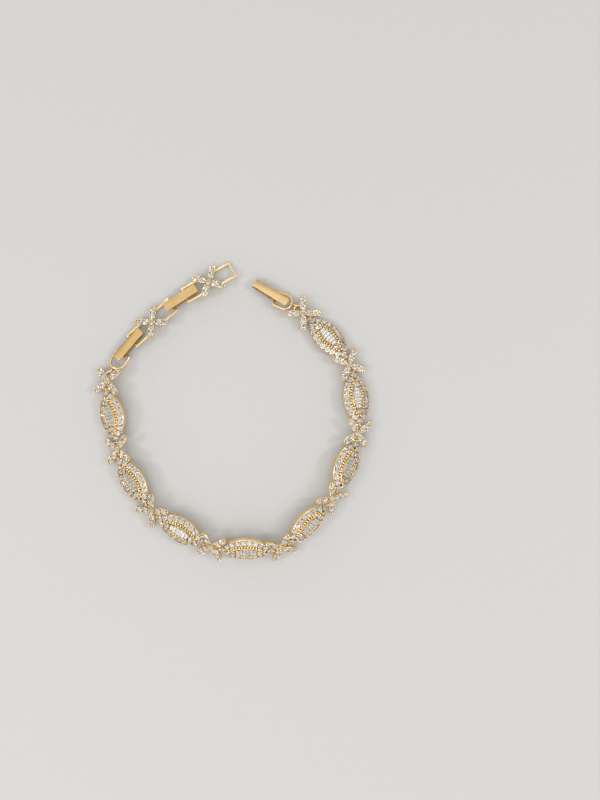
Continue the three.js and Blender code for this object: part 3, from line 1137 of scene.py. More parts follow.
@dataclass
class LeafLink:
    """Pointed-oval link: a sloping band of round stones round a raised field of baguettes.

    Attributes:
        length: Tip to tip.
        width: Across the middle.
        tip: Radius of the tips.
        rim: Steps of the outer wall and its rim, down to the band's bed.
        gallery_length: Length of the wall between the band and the beads.
        gallery_width: Its width.
        gallery: Its steps, from the band's bed down to the recess that the beads stand in.
        field_edge: Outline of the raised field.
        field_rise: Steps of its wall, down to the floor under its stones.
        loop_reach: How far a loop's centre lies past the tip.
        loop_radius: Radius of a loop.
        loop_wire: Radius of its wire.
        loop_root: How far its wire runs back from the tip.
        slope: How far the band's stones tip outwards.
        band: Line that the band's stones lie on.
        band_stones: How many there are.
        band_stone: Their cut.
        band_z: Height of their girdles.
        band_turn: How far each is turned on its axis against the one before it.
        end_stone: Cut of the field's round end stones.
        end_stone_x: Their distance from the middle.
        field_z: Height of the field's stones.
        baguettes: Length across the link of each oblong stone, from the middle to one end.
        baguette_width: Width of the oblong stones, along the link.
        baguette_pitch: Distance from one oblong stone to the next.
        claw_lines: Lines that the band's claws stand on, with their heights.
        claw: A claw of the band.
        rail: Line that the beads stand on.
        beads: How many there are.
        bead: A bead.
        bead_z: Height that they stand at.
        small_claw: A claw of the field.
        small_claw_gap: How far past the oblong stones' ends the small claws stand.
        end_claw_reach: Distance of the end stones' claws from the stones' middles.
        end_claw_angle: How far round from the tips they stand.
        seed: Seed of the stones' painted flashes.
    """

    length: float = 13.2
    width: float = 6.9
    tip: float = 0.8
    rim: Steps = (
        (0.5, 0.0), (0.29, 0.08), (0.12, 0.17), (0.0, 0.32), (0.0, 1.1),
        (0.05, 1.22), (0.16, 1.28), (0.24, 1.26), (0.32, 1.18), (0.38, 0.98))
    gallery_length: float = 9.96
    gallery_width: float = 3.96
    gallery: Steps = ((0.0, 1.4), (0.04, 1.66), (0.12, 1.73), (0.22, 1.73), (0.28, 1.66), (0.32, 1.45))
    field_edge: PointedOval = PointedOval(8.6, 2.74, 0.68)
    field_rise: Steps = ((0.0, 1.2), (0.0, 2.12), (0.06, 2.2), (0.16, 2.23), (0.26, 2.2), (0.32, 1.7))
    loop_reach: float = 0.3
    loop_radius: float = 0.47
    loop_wire: float = 0.14
    loop_root: float = 1.1
    slope: float = math.radians(24)
    band: PointedOval = PointedOval(11.62, 5.32, 0.74)
    band_stones: int = 18
    band_stone: RoundStone = RoundStone(1.44)
    band_z: float = 1.5
    band_turn: float = 0.7
    end_stone: RoundStone = RoundStone(1.4, crown=0.2)
    end_stone_x: float = 3.36
    field_z: float = 2.32
    baguettes: tuple[float, ...] = (2.46, 2.24, 1.7)
    baguette_width: float = 0.79
    baguette_pitch: float = 0.86
    claw_lines: tuple[tuple[PointedOval, float], ...] = (
        (PointedOval(12.78, 6.48, 0.9), 1.2), (PointedOval(10.3, 4.3, 0.6), 1.74))
    claw: Claw = Claw(0.2, 0.22, 0.6)
    rail: PointedOval = PointedOval(9.22, 3.26, 0.46)
    beads: int = 28
    bead: Claw = Claw(0.3, 0.36, 0.45)
    bead_z: float = 1.72
    small_claw: Claw = Claw(0.12, 0.18, 0.4, sides=6)
    small_claw_gap: float = 0.04
    end_claw_reach: float = 0.74
    end_claw_angle: float = math.radians(40)
    seed: int = 11

    def shell(self) -> Mesh:
        """Loft the domed shell with its rim, its band's bed and the gallery.

        Returns:
            The shell.
        """
        inset = self.rim[0][0]
        outline = PointedOval(self.length - inset, self.width - inset, self.tip - inset / 2)
        return loft(outline.sheet("leaf_shell", side_steps=24, tip_steps=8), [
            *stepped(self.length, self.width, self.rim),
            *stepped(self.gallery_length, self.gallery_width, self.gallery),
        ])

    def field_wall(self) -> Mesh:
        """Raise the field that carries the baguettes, with its thin edge.

        Returns:
            The field.
        """
        edge = self.field_edge
        sheet = edge.sheet("leaf_field", side_steps=20, tip_steps=6)
        return loft(sheet, stepped(edge.length, edge.width, self.field_rise))

    def tip_loop(self, side: int) -> Mesh:
        """Bend the upright loop at one tip.

        Args:
            side: 1 for the front tip, -1 for the rear.

        Returns:
            The loop.
        """
        centre, root = self.length / 2 + self.loop_reach, self.length / 2 - self.loop_root
        pen = Pen("leaf_loop", root, -self.loop_radius).line(centre, -self.loop_radius)
        path = pen.arc(centre, 0, math.pi, steps=12).line(root, self.loop_radius).path()
        loop = drawn_wire(path, self.loop_wire, extra_sides=2)
        loop.data.transform(facing(side) @ raised(JOINT_Z) @ UPRIGHT)
        return loop

    def setting(self) -> Mesh:
        """Solder the shell, the field and the two loops.

        Returns:
            The setting; its beds have the second material, dark gold painted as shade.
        """
        parts = [self.shell(), self.field_wall(), self.tip_loop(1), self.tip_loop(-1)]
        band_bed = (self.rim[-1][1] + self.gallery[0][1]) / 2
        beds = (band_bed, self.gallery[-1][1], self.field_rise[-1][1])
        return paint_bed_shade(smooth(join("leaf_setting", parts), CREASE), beds)

    def baguette_x(self, i: int) -> float:
        """Place the i-th oblong stone, counted from the middle towards the front."""
        return (i + 0.5) * self.baguette_pitch

    def in_field(self, x: float, y: float) -> Matrix:
        """Place something upright at a point of the field."""
        return Matrix.Translation((x, y, self.field_z))

    def stones(self) -> Mesh:
        """Set the band, the two end stones and the baguettes.

        Returns:
            The stones.
        """
        band = []
        for i in range(self.band_stones):
            at, outwards = self.band.station(i / self.band_stones)
            band.append(standing(at + self.band_z * Z, outwards, self.slope, i * self.band_turn))
        ends = [self.in_field(side * self.end_stone_x, 0) for side in SIDES]
        beds = [(self.band_stone.cut("band_stone"), band), (self.end_stone.cut("end_stone"), ends)]
        for i, across in enumerate(self.baguettes):
            pair = [self.in_field(side * self.baguette_x(i), 0) for side in SIDES]
            beds.append((Baguette(across, self.baguette_width).cut("baguette"), pair))
        return set_stones("leaf_stones", beds, self.seed)

    def field_claws(self) -> list[Matrix]:
        """Place the small claws between the oblong stones' ends and round the end stones.

        Returns:
            Their placing matrices.
        """
        places = []
        for i in range(len(self.baguettes)):
            x = self.baguette_x(i) + self.baguette_pitch / 2
            y = min(self.baguettes[i:i + 2]) / 2 + self.small_claw_gap
            places += [self.in_field(side * x, hand * y) for side in SIDES for hand in SIDES]
        places += [self.in_field(0, hand * self.baguettes[0] / 2) for hand in SIDES]
        x = self.end_stone_x + self.end_claw_reach * math.cos(self.end_claw_angle)
        y = self.end_claw_reach * math.sin(self.end_claw_angle)
        places += [self.in_field(side * x, side * hand * y) for side in SIDES for hand in SIDES]
        return places

    def claws(self) -> Mesh:
        """Raise the claws between the band's stones, the rail's beads and the field's small claws.

        Returns:
            The claws and beads.
        """
        claws, beads = [], []
        for i in range(self.band_stones):
            for line, height in self.claw_lines:
                at, outwards = line.station((i + 0.5) / self.band_stones)
                claws.append(standing(at + height * Z, outwards, self.slope))
        for i in range(self.beads):
            at, outwards = self.rail.station((i + 0.5) / self.beads)
            beads.append(standing(at + self.bead_z * Z, outwards, 0))
        return join("leaf_claws", [
            scatter("leaf_claws", self.claw.form("claw"), claws),
            scatter("leaf_beads", self.bead.form("bead"), beads),
            scatter("field_claws", self.small_claw.form("small_claw"), self.field_claws()),
        ])

    def build(self) -> Parts:
        """Build the link's three pieces in its own frame."""
        return Parts(self.setting(), self.stones(), self.claws())


class Notch(Enum):
    """What fills a cross link's notch on one side."""

    BAR = "bar"
    HALF_RING = "half ring"
    EYE = "eye"
    PIVOTS = "pivots"


@dataclass
class CrossLink:
    """Four petal arms and a raised centre stone, with a fitting in the rear and front notch.

    Attributes:
        rear: What fills the rear notch.
        front: What fills the front notch.
        foot_z: Height of the back of the arms and the hub.
        arm_start: Distance of an arm's inner end from the middle.
        arm_length: Length of an arm at its rim.
        arm_width: Its width there.
        arm_foot: Its outline at the back.
        arm_rise: Steps of its rim, down to its stones' bed.
        hub_width: Width of the hub at its rim.
        hub_foot: Its width at the back.
        hub_rise: Steps of its rim, down to its stone's bed.
        bar_radius: Radius of a bar.
        bar_half: Half its length.
        ring_wire: Radius of a half ring's wire.
        rail_y: Distance of a rail from the long axis.
        rail_width: Width of a rail.
        rail_bottom: Height of its lower face.
        rail_top: Height of its upper face.
        rail_start: Where it starts, from the link's middle.
        rail_end: Where it ends.
        rail_edge: How wide its edges are rounded.
        crossbar_radius: Radius of the bar between an eye's rails.
        pin_radius: Radius of the pivot pins.
        pin_inner: Distance of a pin's free end from the long axis.
        stub_inner: Distance of its thick root's shoulder from the long axis.
        stub_edge: How wide the shoulder's edge is rounded.
        arm_stone: Cut of the arms' stones.
        stone_reaches: Distance of each arm's two stones from the middle.
        stone_z: Height of their girdles, and of the claws beside them.
        stone_turn: How far the stones are turned on their axes from one arm to the next.
        centre_stone: Cut of the stone on the hub.
        centre_z: Height of its girdle.
        claw: A claw.
        claw_pairs: Where each pair stands: along an arm, and to either side of it.
        centre_claw_reach: Distance of the centre stone's claws from the middle.
        centre_claw_z: Height that they stand at.
        tip_claw: The claw at an arm's tip.
        tip_reach: Its distance from the middle.
        tip_z: Height that it stands at.
        tip_stretch: How far it is stretched along the arm, across it and upwards.
        seed: Seed of the stones' painted flashes.
    """

    rear: Notch
    front: Notch
    foot_z: float = 0.25
    arm_start: float = 0.65
    arm_length: float = 3.8
    arm_width: float = 1.7
    arm_foot: PointedOval = PointedOval(3.4, 0.9, 0.3)
    arm_rise: Steps = ((0.0, 1.2), (0.0, 1.5), (0.06, 1.6), (0.18, 1.64), (0.3, 1.6), (0.36, 1.2))
    hub_width: float = 1.56
    hub_foot: float = 1.2
    hub_rise: Steps = ((0.0, 1.2), (0.0, 1.7), (0.08, 1.78), (0.22, 1.76), (0.36, 1.4))
    bar_radius: float = 0.18
    bar_half: float = 1.6
    ring_wire: float = 0.2
    rail_y: float = 2.0
    rail_width: float = 0.6
    rail_bottom: float = 0.44
    rail_top: float = 1.06
    rail_start: float = 1.9
    rail_end: float = 7.15
    rail_edge: float = 0.12
    crossbar_radius: float = 0.26
    pin_radius: float = 0.17
    pin_inner: float = 0.5
    stub_inner: float = 1.35
    stub_edge: float = 0.06
    arm_stone: RoundStone = RoundStone(1.5)
    stone_reaches: tuple[float, float] = (1.76, 3.24)
    stone_z: float = 1.62
    stone_turn: float = 0.4
    centre_stone: RoundStone = RoundStone(1.52, crown=0.22)
    centre_z: float = 1.78
    claw: Claw = Claw(0.2, 0.22, 0.6)
    claw_pairs: tuple[tuple[float, float], ...] = ((1.12, 0.55), (2.5, 0.7), (3.9, 0.56))
    centre_claw_reach: float = 0.76
    centre_claw_z: float = 1.8
    tip_claw: Claw = Claw(0.2, 0.16, 0.5)
    tip_reach: float = 4.18
    tip_z: float = 1.6
    tip_stretch: tuple[float, float, float] = (1.5, 0.8, 1.0)
    seed: int = 23

    def arm(self) -> Mesh:
        """Loft one petal along +x, with a rim round the stones' bed.

        Returns:
            The petal.
        """
        foot = self.arm_foot
        petal = loft(foot.sheet("cross_arm", side_steps=12, tip_steps=5), [
            Section(foot.length, foot.width, self.foot_z),
            *stepped(self.arm_length, self.arm_width, self.arm_rise),
        ])
        petal.data.transform(Matrix.Translation((self.arm_start + self.arm_length / 2, 0, 0)))
        return petal

    def hub(self) -> Mesh:
        """Form the cup under the centre stone.

        Returns:
            The cup.
        """
        bpy.ops.object.select_all(action="DESELECT")
        bpy.ops.mesh.primitive_circle_add(vertices=24, radius=self.hub_foot / 2, fill_type="NGON")
        return loft(named("cross_hub"), [
            Section(self.hub_foot, self.hub_foot, self.foot_z),
            *stepped(self.hub_width, self.hub_width, self.hub_rise),
        ])

    def fitting(self, kind: Notch, side: int) -> list[Mesh]:
        """Make what fills one notch.

        Args:
            kind: Which fitting it is.
            side: 1 for the front notch, -1 for the rear.

        Returns:
            The fitting's pieces.
        """
        if kind is Notch.BAR:
            return [rod("notch_bar", self.bar_radius, side * BAR_AT, self.bar_half, JOINT_Z)]
        if kind is Notch.HALF_RING:
            path = Pen("half_ring", RING_AT, -RING_RADIUS).arc(RING_AT, 0, math.pi, steps=16).path()
            ring = drawn_wire(path, self.ring_wire)
            ring.data.transform(facing(side) @ raised(JOINT_Z))
            return [ring]
        return self.rails(kind, side)

    def rails(self, kind: Notch, side: int) -> list[Mesh]:
        """Make two rails with either a crossbar or two pivot pins between them.

        Args:
            kind: EYE for the crossbar, PIVOTS for the pins.
            side: 1 for the front notch, -1 for the rear.

        Returns:
            The rails and what is between them.
        """
        start, end = sorted((side * self.rail_start, side * self.rail_end))
        cross_x = side * CROSSBAR_AT
        pieces = []
        for hand in SIDES:
            y = hand * self.rail_y
            low = (start, y - self.rail_width / 2, self.rail_bottom)
            high = (end, y + self.rail_width / 2, self.rail_top)
            pieces.append(bar("rail", low, high, self.rail_edge))
            if kind is Notch.PIVOTS:
                root = Vector((cross_x, y, CROSSBAR_Z))
                shoulder = Vector((cross_x, hand * self.stub_inner, CROSSBAR_Z))
                free_end = Vector((cross_x, hand * self.pin_inner, CROSSBAR_Z))
                pieces.append(cylinder("pivot_pin", self.pin_radius, free_end, root))
                stub = cylinder("pivot_stub", self.rail_width / 2, shoulder, root)
                pieces.append(soften(stub, self.stub_edge))
        if kind is Notch.EYE:
            pieces.append(rod("crossbar", self.crossbar_radius, cross_x, self.rail_y, CROSSBAR_Z))
        return pieces

    def setting(self) -> Mesh:
        """Solder the arms, the hub and the fittings.

        Returns:
            The setting; its beds have the second material, dark gold painted as shade.
        """
        arm = self.arm()
        arms = [clone(arm, "cross_arm", Matrix.Rotation(angle, 4, "Z")) for angle in ARM_ANGLES]
        discard(arm)
        parts = [*arms, self.hub(), *self.fitting(self.rear, -1), *self.fitting(self.front, 1)]
        beds = (self.arm_rise[-1][1], self.hub_rise[-1][1])
        return paint_bed_shade(smooth(join("cross_setting", parts), CREASE), beds)

    def stones(self) -> Mesh:
        """Set two stones in each arm and one on the hub.

        Returns:
            The stones.
        """
        beds = []
        for i, angle in enumerate(ARM_ANGLES):
            for reach in self.stone_reaches:
                at = Vector((reach * math.cos(angle), reach * math.sin(angle), self.stone_z))
                beds.append(standing(at, angle, 0, self.stone_turn * i + reach))
        return set_stones("cross_stones", [
            (self.arm_stone.cut("arm_stone"), beds),
            (self.centre_stone.cut("centre_stone"), [raised(self.centre_z)]),
        ], self.seed)

    def claws(self) -> Mesh:
        """Raise the claws along the arms, at their tips and round the centre stone.

        Returns:
            The claws.
        """
        places, tips = [], []
        for angle in ARM_ANGLES:
            turn = Matrix.Rotation(angle, 4, "Z")
            for reach, across in self.claw_pairs:
                for hand in SIDES:
                    places.append(turn @ Matrix.Translation((reach, hand * across, self.stone_z)))
            places.append(turn @ Matrix.Translation((self.centre_claw_reach, 0, self.centre_claw_z)))
            at_tip = turn @ Matrix.Translation((self.tip_reach, 0, self.tip_z))
            tips.append(at_tip @ Matrix.Diagonal((*self.tip_stretch, 1)))
        return join("cross_claws", [
            scatter("cross_claws", self.claw.form("claw"), places),
            scatter("cross_tips", self.tip_claw.form("tip"), tips),
        ])

    def build(self) -> Parts:
        """Build the link's three pieces in its own frame."""
        return Parts(self.setting(), self.stones(), self.claws())


# ------------------------------------------------------------------ clasps and frames


@dataclass
class UFrame:
    """U-shaped wire frame that pivots on a clasp's plate, with an upright eye on its bend.

    Attributes:
        width: Across the outsides of its rails.
        wire: Radius of the wire.
        length: From the pins' axis to the outside of the bend.
        corner: Radius of the corners at the pins' end.
        pin_radius: Radius of the pins.
        pin_inner: Distance of a pin's free end from the long axis.
        turned_end: Distance of the wire's ends from the long axis.
        pin_root: How far a pin reaches into the wire.
        eye_reach: How far the eye's centre lies past the bend.
        eye_radius: Radius of the eye, to the middle of its wire.
        eye_wire: Radius of the eye's wire.
    """

    width: float = 4.8
    wire: float = 0.35
    length: float = 4.75
    corner: float = 0.45
    pin_radius: float = 0.17
    pin_inner: float = 0.5
    turned_end: float = 1.35
    pin_root: float = 0.2
    eye_reach: float = 0.7
    eye_radius: float = 0.72
    eye_wire: float = 0.2

    @property
    def eye_x(self) -> float:
        """Distance of the eye's centre from the pins' axis."""
        return self.length + self.eye_reach

    def build(self) -> Mesh:
        """Bend the wire, add the pins and solder on the eye.

        Returns:
            The frame, with the middle of its pins' axis over the origin.
        """
        rail = self.width / 2 - self.wire
        bend = self.length - self.wire - rail
        r = self.corner
        pen = Pen("u_wire", 0, -self.turned_end).line(0, -rail + r).arc(r, -rail + r, QUARTER, steps=6)
        pen.line(bend, -rail).arc(bend, 0, math.pi, steps=22)
        pen.line(r, rail).arc(r, rail - r, QUARTER, steps=6).line(0, self.turned_end)
        wire = drawn_wire(pen.path(), self.wire, extra_sides=4)
        free_end, root = self.pin_inner * Y, (self.turned_end + self.pin_root) * Y
        pins = [cylinder("u_pin", self.pin_radius, hand * free_end, hand * root) for hand in SIDES]
        bpy.ops.object.select_all(action="DESELECT")
        bpy.ops.mesh.primitive_torus_add(
            major_radius=self.eye_radius, minor_radius=self.eye_wire,
            major_segments=28, minor_segments=12)
        eye = named("u_eye")
        eye.data.transform(Matrix.Translation((self.eye_x, 0, 0)) @ UPRIGHT)
        frame = join("u_frame", [wire, *pins, eye])
        frame.data.transform(raised(BARREL_Z))
        return smooth(frame, CREASE)


@dataclass
class FoldOver:
    """Fold-over clasp: a channel plate with a pivot barrel, and a hinged cover that snaps shut.

    Attributes:
        length: Length of the cover.
        pivot: Distance of the pivot barrel from the hinge end.
        width: Width of the cover.
        corner: Radius of its corners.
        cover_bottom: Height of its lower face.
        cover_top: Height of its upper face.
        cover_edge: How wide its edges are rounded.
        hinge_x: Distance of the hinge's axis from the hinge end.
        hinge_z: Height of that axis.
        ear: Thickness of the cover's ears.
        ear_radius: Radius of an ear.
        ear_hole: Radius of its hole.
        lip: Distance of the lip's inner and outer faces from the cover's free end.
        lip_half: Half the lip's width.
        lip_drop: How far the lip hangs down.
        pin_radius: Radius of the hinge pin.
        pin_edge: How wide the pin's ends are rounded.
        plate_half: Half the plate's width.
        plate_start: Distance of the plate from the hinge end.
        plate_bottom: Height of its lower face.
        plate_top: Height of its floor.
        wall: Thickness of the channel's walls.
        wall_top: Height of the walls.
        wall_start: Their distance from the hinge end.
        lug_half: Half the width of the lug on the hinge pin, and of the web under it.
        lug_radius: Radius of the lug.
        lug_edge: How wide its ends are rounded.
        web: How far the web reaches from the hinge's axis, down and along.
        web_foot: Where the web's foot starts and ends, from the plate's start.
        barrel_radius: Radius of the pivot barrel.
        barrel_hole: Radius of its bore.
        bite: How far soldered pieces reach into each other.
        edge: How wide the edges of bars are rounded.
        fine_edge: How wide the edges of the barrel, the web and the ears are rounded.
    """

    length: float
    pivot: float
    width: float = 2.4
    corner: float = 0.5
    cover_bottom: float = 1.75
    cover_top: float = 2.1
    cover_edge: float = 0.1
    hinge_x: float = 0.45
    hinge_z: float = 1.25
    ear: float = 0.28
    ear_radius: float = 0.42
    ear_hole: float = 0.3
    lip: tuple[float, float] = (0.55, 0.3)
    lip_half: float = 0.8
    lip_drop: float = 0.45
    pin_radius: float = 0.19
    pin_edge: float = 0.04
    plate_half: float = 0.92
    plate_start: float = 0.75
    plate_bottom: float = 0.15
    plate_top: float = 0.5
    wall: float = 0.3
    wall_top: float = 0.82
    wall_start: float = 1.3
    lug_half: float = 0.8
    lug_radius: float = 0.378
    lug_edge: float = 0.06
    web: float = 0.3
    web_foot: tuple[float, float] = (0.05, 0.6)
    barrel_radius: float = 0.6
    barrel_hole: float = 0.43
    bite: float = 0.1
    edge: float = 0.08
    fine_edge: float = 0.05

    def barrel(self) -> Mesh:
        """Form the tube that the frame's pins turn in.

        Returns:
            The tube.
        """
        tube = rod("barrel", self.barrel_radius, self.pivot, self.plate_half, BARREL_Z, sides=32)
        return soften(bore(tube, self.barrel_radius - self.barrel_hole), self.fine_edge)

    def channel(self) -> list[Mesh]:
        """Make the floor and the two walls that the crossbar lies between.

        Returns:
            The floor and the walls.
        """
        half, bottom = self.plate_half, self.plate_bottom
        low, high = (self.plate_start, -half, bottom), (self.pivot, half, self.plate_top)
        pieces = [bar("floor", low, high, self.edge)]
        for hand in SIDES:
            right, left = sorted((hand * half, hand * (half - self.wall)))
            low, high = (self.wall_start, right, bottom), (self.pivot, left, self.wall_top)
            pieces.append(bar("wall", low, high, self.edge))
        return pieces

    def hinge_web(self) -> Mesh:
        """Cut the web that joins the plate to the lug.

        Returns:
            The web.
        """
        foot_z = self.plate_bottom + self.bite
        foot_start, foot_end = (self.plate_start + x for x in self.web_foot)
        x, z = self.hinge_x, self.hinge_z
        pen = Pen("web", x, z - self.web).line(foot_start, foot_z).line(foot_end, foot_z)
        web = thicken(pen.line(x + self.web, z).line(x, z - self.web).sheet(), 2 * self.lug_half)
        web.data.transform(Matrix.Translation((0, self.lug_half, 0)) @ UPRIGHT)
        return soften(web, self.fine_edge)

    def plate(self) -> Mesh:
        """Assemble the channel, its barrel, the lug, the web and the hinge pin.

        Returns:
            The plate.
        """
        channel = self.channel()
        lug = rod("lug", self.lug_radius, self.hinge_x, self.lug_half, self.hinge_z, sides=24)
        soften(lug, self.lug_edge)
        web = self.hinge_web()
        pin = rod("hinge_pin", self.pin_radius, self.hinge_x, self.width / 2, self.hinge_z)
        soften(pin, self.pin_edge)
        return smooth(join("plate", [*channel, self.barrel(), lug, web, pin]), CREASE)

    def cover(self) -> Mesh:
        """Assemble the smooth cover plate, its two ears and the lip that snaps shut.

        Returns:
            The cover.
        """
        half, r = self.width / 2, self.corner
        pen = Pen("cover_sheet", self.length - r, -half).arc(self.length - r, -half + r, QUARTER, steps=8)
        pen.line(self.length, half - r).arc(self.length - r, half - r, QUARTER, steps=8)
        pen.line(r, half).arc(r, half - r, QUARTER, steps=8)
        pen.line(0, -half + r).arc(r, -half + r, QUARTER, steps=8)
        top = thicken(pen.line(self.length - r, -half).sheet(), self.cover_top - self.cover_bottom)
        top.data.transform(raised(self.cover_bottom))
        soften(top, self.cover_edge, segments=3)
        ears = [self.cover_ear(hand) for hand in SIDES]
        inner, outer = (self.length - x for x in self.lip)
        low = (inner, -self.lip_half, self.cover_bottom - self.lip_drop)
        high = (outer, self.lip_half, self.cover_bottom + self.bite)
        return smooth(join("cover", [top, *ears, bar("lip", low, high, self.edge)]), CREASE)

    def cover_ear(self, hand: int) -> Mesh:
        """Form one pierced ear of the cover.

        Args:
            hand: 1 for the left ear, -1 for the right.

        Returns:
            The ear.
        """
        half = self.width / 2
        inner, outer = hand * (half - self.ear), hand * half
        start, end = (Vector((self.hinge_x, y, self.hinge_z)) for y in (inner, outer))
        disc = cylinder("ear", self.ear_radius, start, end, sides=32)
        ring = bore(disc, self.ear_radius - self.ear_hole)
        low = (self.hinge_x - self.ear_radius, min(inner, outer), self.hinge_z + self.ear_hole)
        high = (self.hinge_x + self.ear_radius, max(inner, outer), self.cover_bottom + self.bite)
        return join("ear", [ring, bar("tab", low, high, self.fine_edge)])


# ------------------------------------------------------------------ the chain as it lies


class Kind(Enum):
    """Kinds of piece in the chain."""

    LEAF = "leaf"
    CROSS = "cross"
    CROSS_FIRST = "first cross"
    CROSS_LAST = "last cross"
    CROSS_IN_EXTENDER = "cross in the extender"
    CROSS_AT_END = "cross at the end"
    MAIN_CLASP = "main clasp"
    MAIN_FRAME = "main frame"
    EXTENDER_FRAME = "extender frame"
    EXTENDER_BAR = "extender bar"


class Joints(NamedTuple):
    """Where a kind of piece meets its neighbours.

    Attributes:
        rear: Its joint with the piece before it.
        front: Its joint with the piece after it.
        turned: Whether it lies back to front in the chain; the joints are then given as it lies.
    """

    rear: Vector
    front: Vector
    turned: bool = False


def on_axis(x: float, z: float = JOINT_Z) -> Vector:
    """Point on a link's long axis."""
    return Vector((x, 0, z))


MAIN_CLASP = FoldOver(10.0, pivot=6.7)
EXTENDER_BAR = FoldOver(9.6, pivot=7.5)
U_FRAME = UFrame()
CATCH_AT = 3.4  # the next link's crossbar in an extender bar, from the bar's hinge end
CATCH_Z = 1.29
RING_SLIDE = Matrix.Rotation(math.radians(-25), 3, "Z")  # round the half ring to the extender's eye
EYE_TO_EYE = Joints(on_axis(-CROSSBAR_AT, CROSSBAR_Z), on_axis(CROSSBAR_AT, CROSSBAR_Z))
JOINTS = {
    Kind.LEAF: Joints(on_axis(-LEAF_REACH), on_axis(LEAF_REACH)),
    Kind.CROSS: Joints(on_axis(-BAR_AT), on_axis(BAR_AT)),
    Kind.CROSS_FIRST: Joints(on_axis(-RING_AT - RING_RADIUS), on_axis(BAR_AT)),
    Kind.CROSS_LAST: Joints(on_axis(-BAR_AT), on_axis(RING_AT) + RING_SLIDE @ on_axis(RING_RADIUS, 0)),
    Kind.CROSS_IN_EXTENDER: EYE_TO_EYE,
    Kind.CROSS_AT_END: EYE_TO_EYE,
    Kind.MAIN_CLASP: Joints(on_axis(0, BARREL_Z), on_axis(MAIN_CLASP.pivot, BARREL_Z)),
    Kind.MAIN_FRAME: Joints(on_axis(0, BARREL_Z), on_axis(U_FRAME.eye_x, BARREL_Z)),
    Kind.EXTENDER_FRAME: Joints(on_axis(-U_FRAME.eye_x, BARREL_Z), on_axis(0, BARREL_Z), True),
    Kind.EXTENDER_BAR: Joints(on_axis(-EXTENDER_BAR.pivot, BARREL_Z), on_axis(-CATCH_AT, CATCH_Z), True),
}
NOTCHES = {
    Kind.CROSS: (Notch.BAR, Notch.BAR),
    Kind.CROSS_FIRST: (Notch.HALF_RING, Notch.BAR),
    Kind.CROSS_LAST: (Notch.BAR, Notch.HALF_RING),
    Kind.CROSS_IN_EXTENDER: (Notch.EYE, Notch.PIVOTS),
    Kind.CROSS_AT_END: (Notch.EYE, Notch.EYE),
}


class Lie(NamedTuple):
    """How one piece lies.

    Attributes:
        name: The piece's name.
        kind: What kind it is.
        heading: The way it points, in degrees counterclockwise from +x.
        lean: How far its face tips to the outside of the loop, in degrees.
        far_height: Height of its far joint above the table.
        slide_in: How far to the left its rear joint sits on its bar.
        slide_out: How far to the left its front joint sits on its bar.
    """

    name: str
    kind: Kind
    heading: float
    lean: float
    far_height: float
    slide_in: float = 0.0
    slide_out: float = 0.0


CHAIN = (
    Lie("clasp", Kind.MAIN_CLASP, -32, 22, 1.02),
    Lie("clasp_frame", Kind.MAIN_FRAME, -24.4, 20, 1.25),
    Lie("cross_link_1", Kind.CROSS_FIRST, -42.8, 5, 1.15, 0.0, 0.28),
    Lie("leaf_link_1", Kind.LEAF, -47, 8, 1.4),
    Lie("cross_link_2", Kind.CROSS, -66.4, 12, 1.4, 0.23, 0.22),
    Lie("leaf_link_2", Kind.LEAF, -83.1, 17, 2),
    Lie("cross_link_3", Kind.CROSS, -102, 22, 2, 0.24, -0.02),
    Lie("leaf_link_3", Kind.LEAF, -110.6, 30, 2.53),
    Lie("cross_link_4", Kind.CROSS, -128.1, 34, 2.58, 0.25, 0.28),
    Lie("leaf_link_4", Kind.LEAF, -134.3, 40, 2.66),
    Lie("cross_link_5", Kind.CROSS, -156.2, 40, 2.64, 0.23, 0.21),
    Lie("leaf_link_5", Kind.LEAF, -181.3, 40, 2.63),
    Lie("cross_link_6", Kind.CROSS, -197.2, 31, 2.45, 0.23, 0.28),
    Lie("leaf_link_6", Kind.LEAF, -210, 24, 1.85),
    Lie("cross_link_7", Kind.CROSS, -227, 22, 1.98, 0.22, 0.13),
    Lie("leaf_link_7", Kind.LEAF, -238.7, 25, 2.06),
    Lie("cross_link_8", Kind.CROSS, -260.9, 22, 2.03, 0.21, -0.19),
    Lie("leaf_link_8", Kind.LEAF, -257.3, 24, 1.93),
    Lie("cross_link_9", Kind.CROSS_LAST, -277.1, 17, 1.75, 0.21),
    Lie("extender_frame", Kind.EXTENDER_FRAME, -300.7, 17, 0.95),
    Lie("extender_bar_1", Kind.EXTENDER_BAR, -310.5, 17, 1.6),
    Lie("cross_link_10", Kind.CROSS_IN_EXTENDER, -317.5, 15, 1.13),
    Lie("extender_bar_2", Kind.EXTENDER_BAR, -326.8, 14, 1.62),
    Lie("cross_link_11", Kind.CROSS_AT_END, -330.8, 12, 1.05),
)
START = Vector((5.2281, 32.4704, 0.95))


def walk(chain: Sequence[Lie]) -> Iterator[tuple[Lie, Matrix]]:
    """Walk the chain joint by joint.

    Args:
        chain: How each piece lies, from the clasp's hinge end.

    Yields:
        Each piece with the matrix that places it, in metres.
    """
    joint = START.copy()
    for lie in chain:
        rear, front, turned = JOINTS[lie.kind]
        rear, front = rear + lie.slide_in * Y, front + lie.slide_out * Y
        leaning = Matrix.Rotation(-math.radians(lie.lean), 3, "X")
        span = leaning @ (front - rear)
        climb = math.asin((lie.far_height - joint.z) / math.hypot(span.x, span.z))
        pitch = climb - math.atan2(span.z, span.x)
        heading = Matrix.Rotation(math.radians(lie.heading), 3, "Z")
        turn = heading @ Matrix.Rotation(-pitch, 3, "Y") @ leaning
        place = Matrix.Translation(joint) @ turn.to_4x4() @ Matrix.Translation(-rear)
        if turned:
            place = place @ facing(-1)
        yield lie, Matrix.Scale(MM, 4) @ place
        joint += turn @ (front - rear)


class Fold(NamedTuple):
    """The nodes and the body of a fold-over clasp.

    Attributes:
        plate: The plate's node.
        cover: The cover's node.
        body: The body that the cover turns with.
    """

    plate: str
    cover: str
    body: str


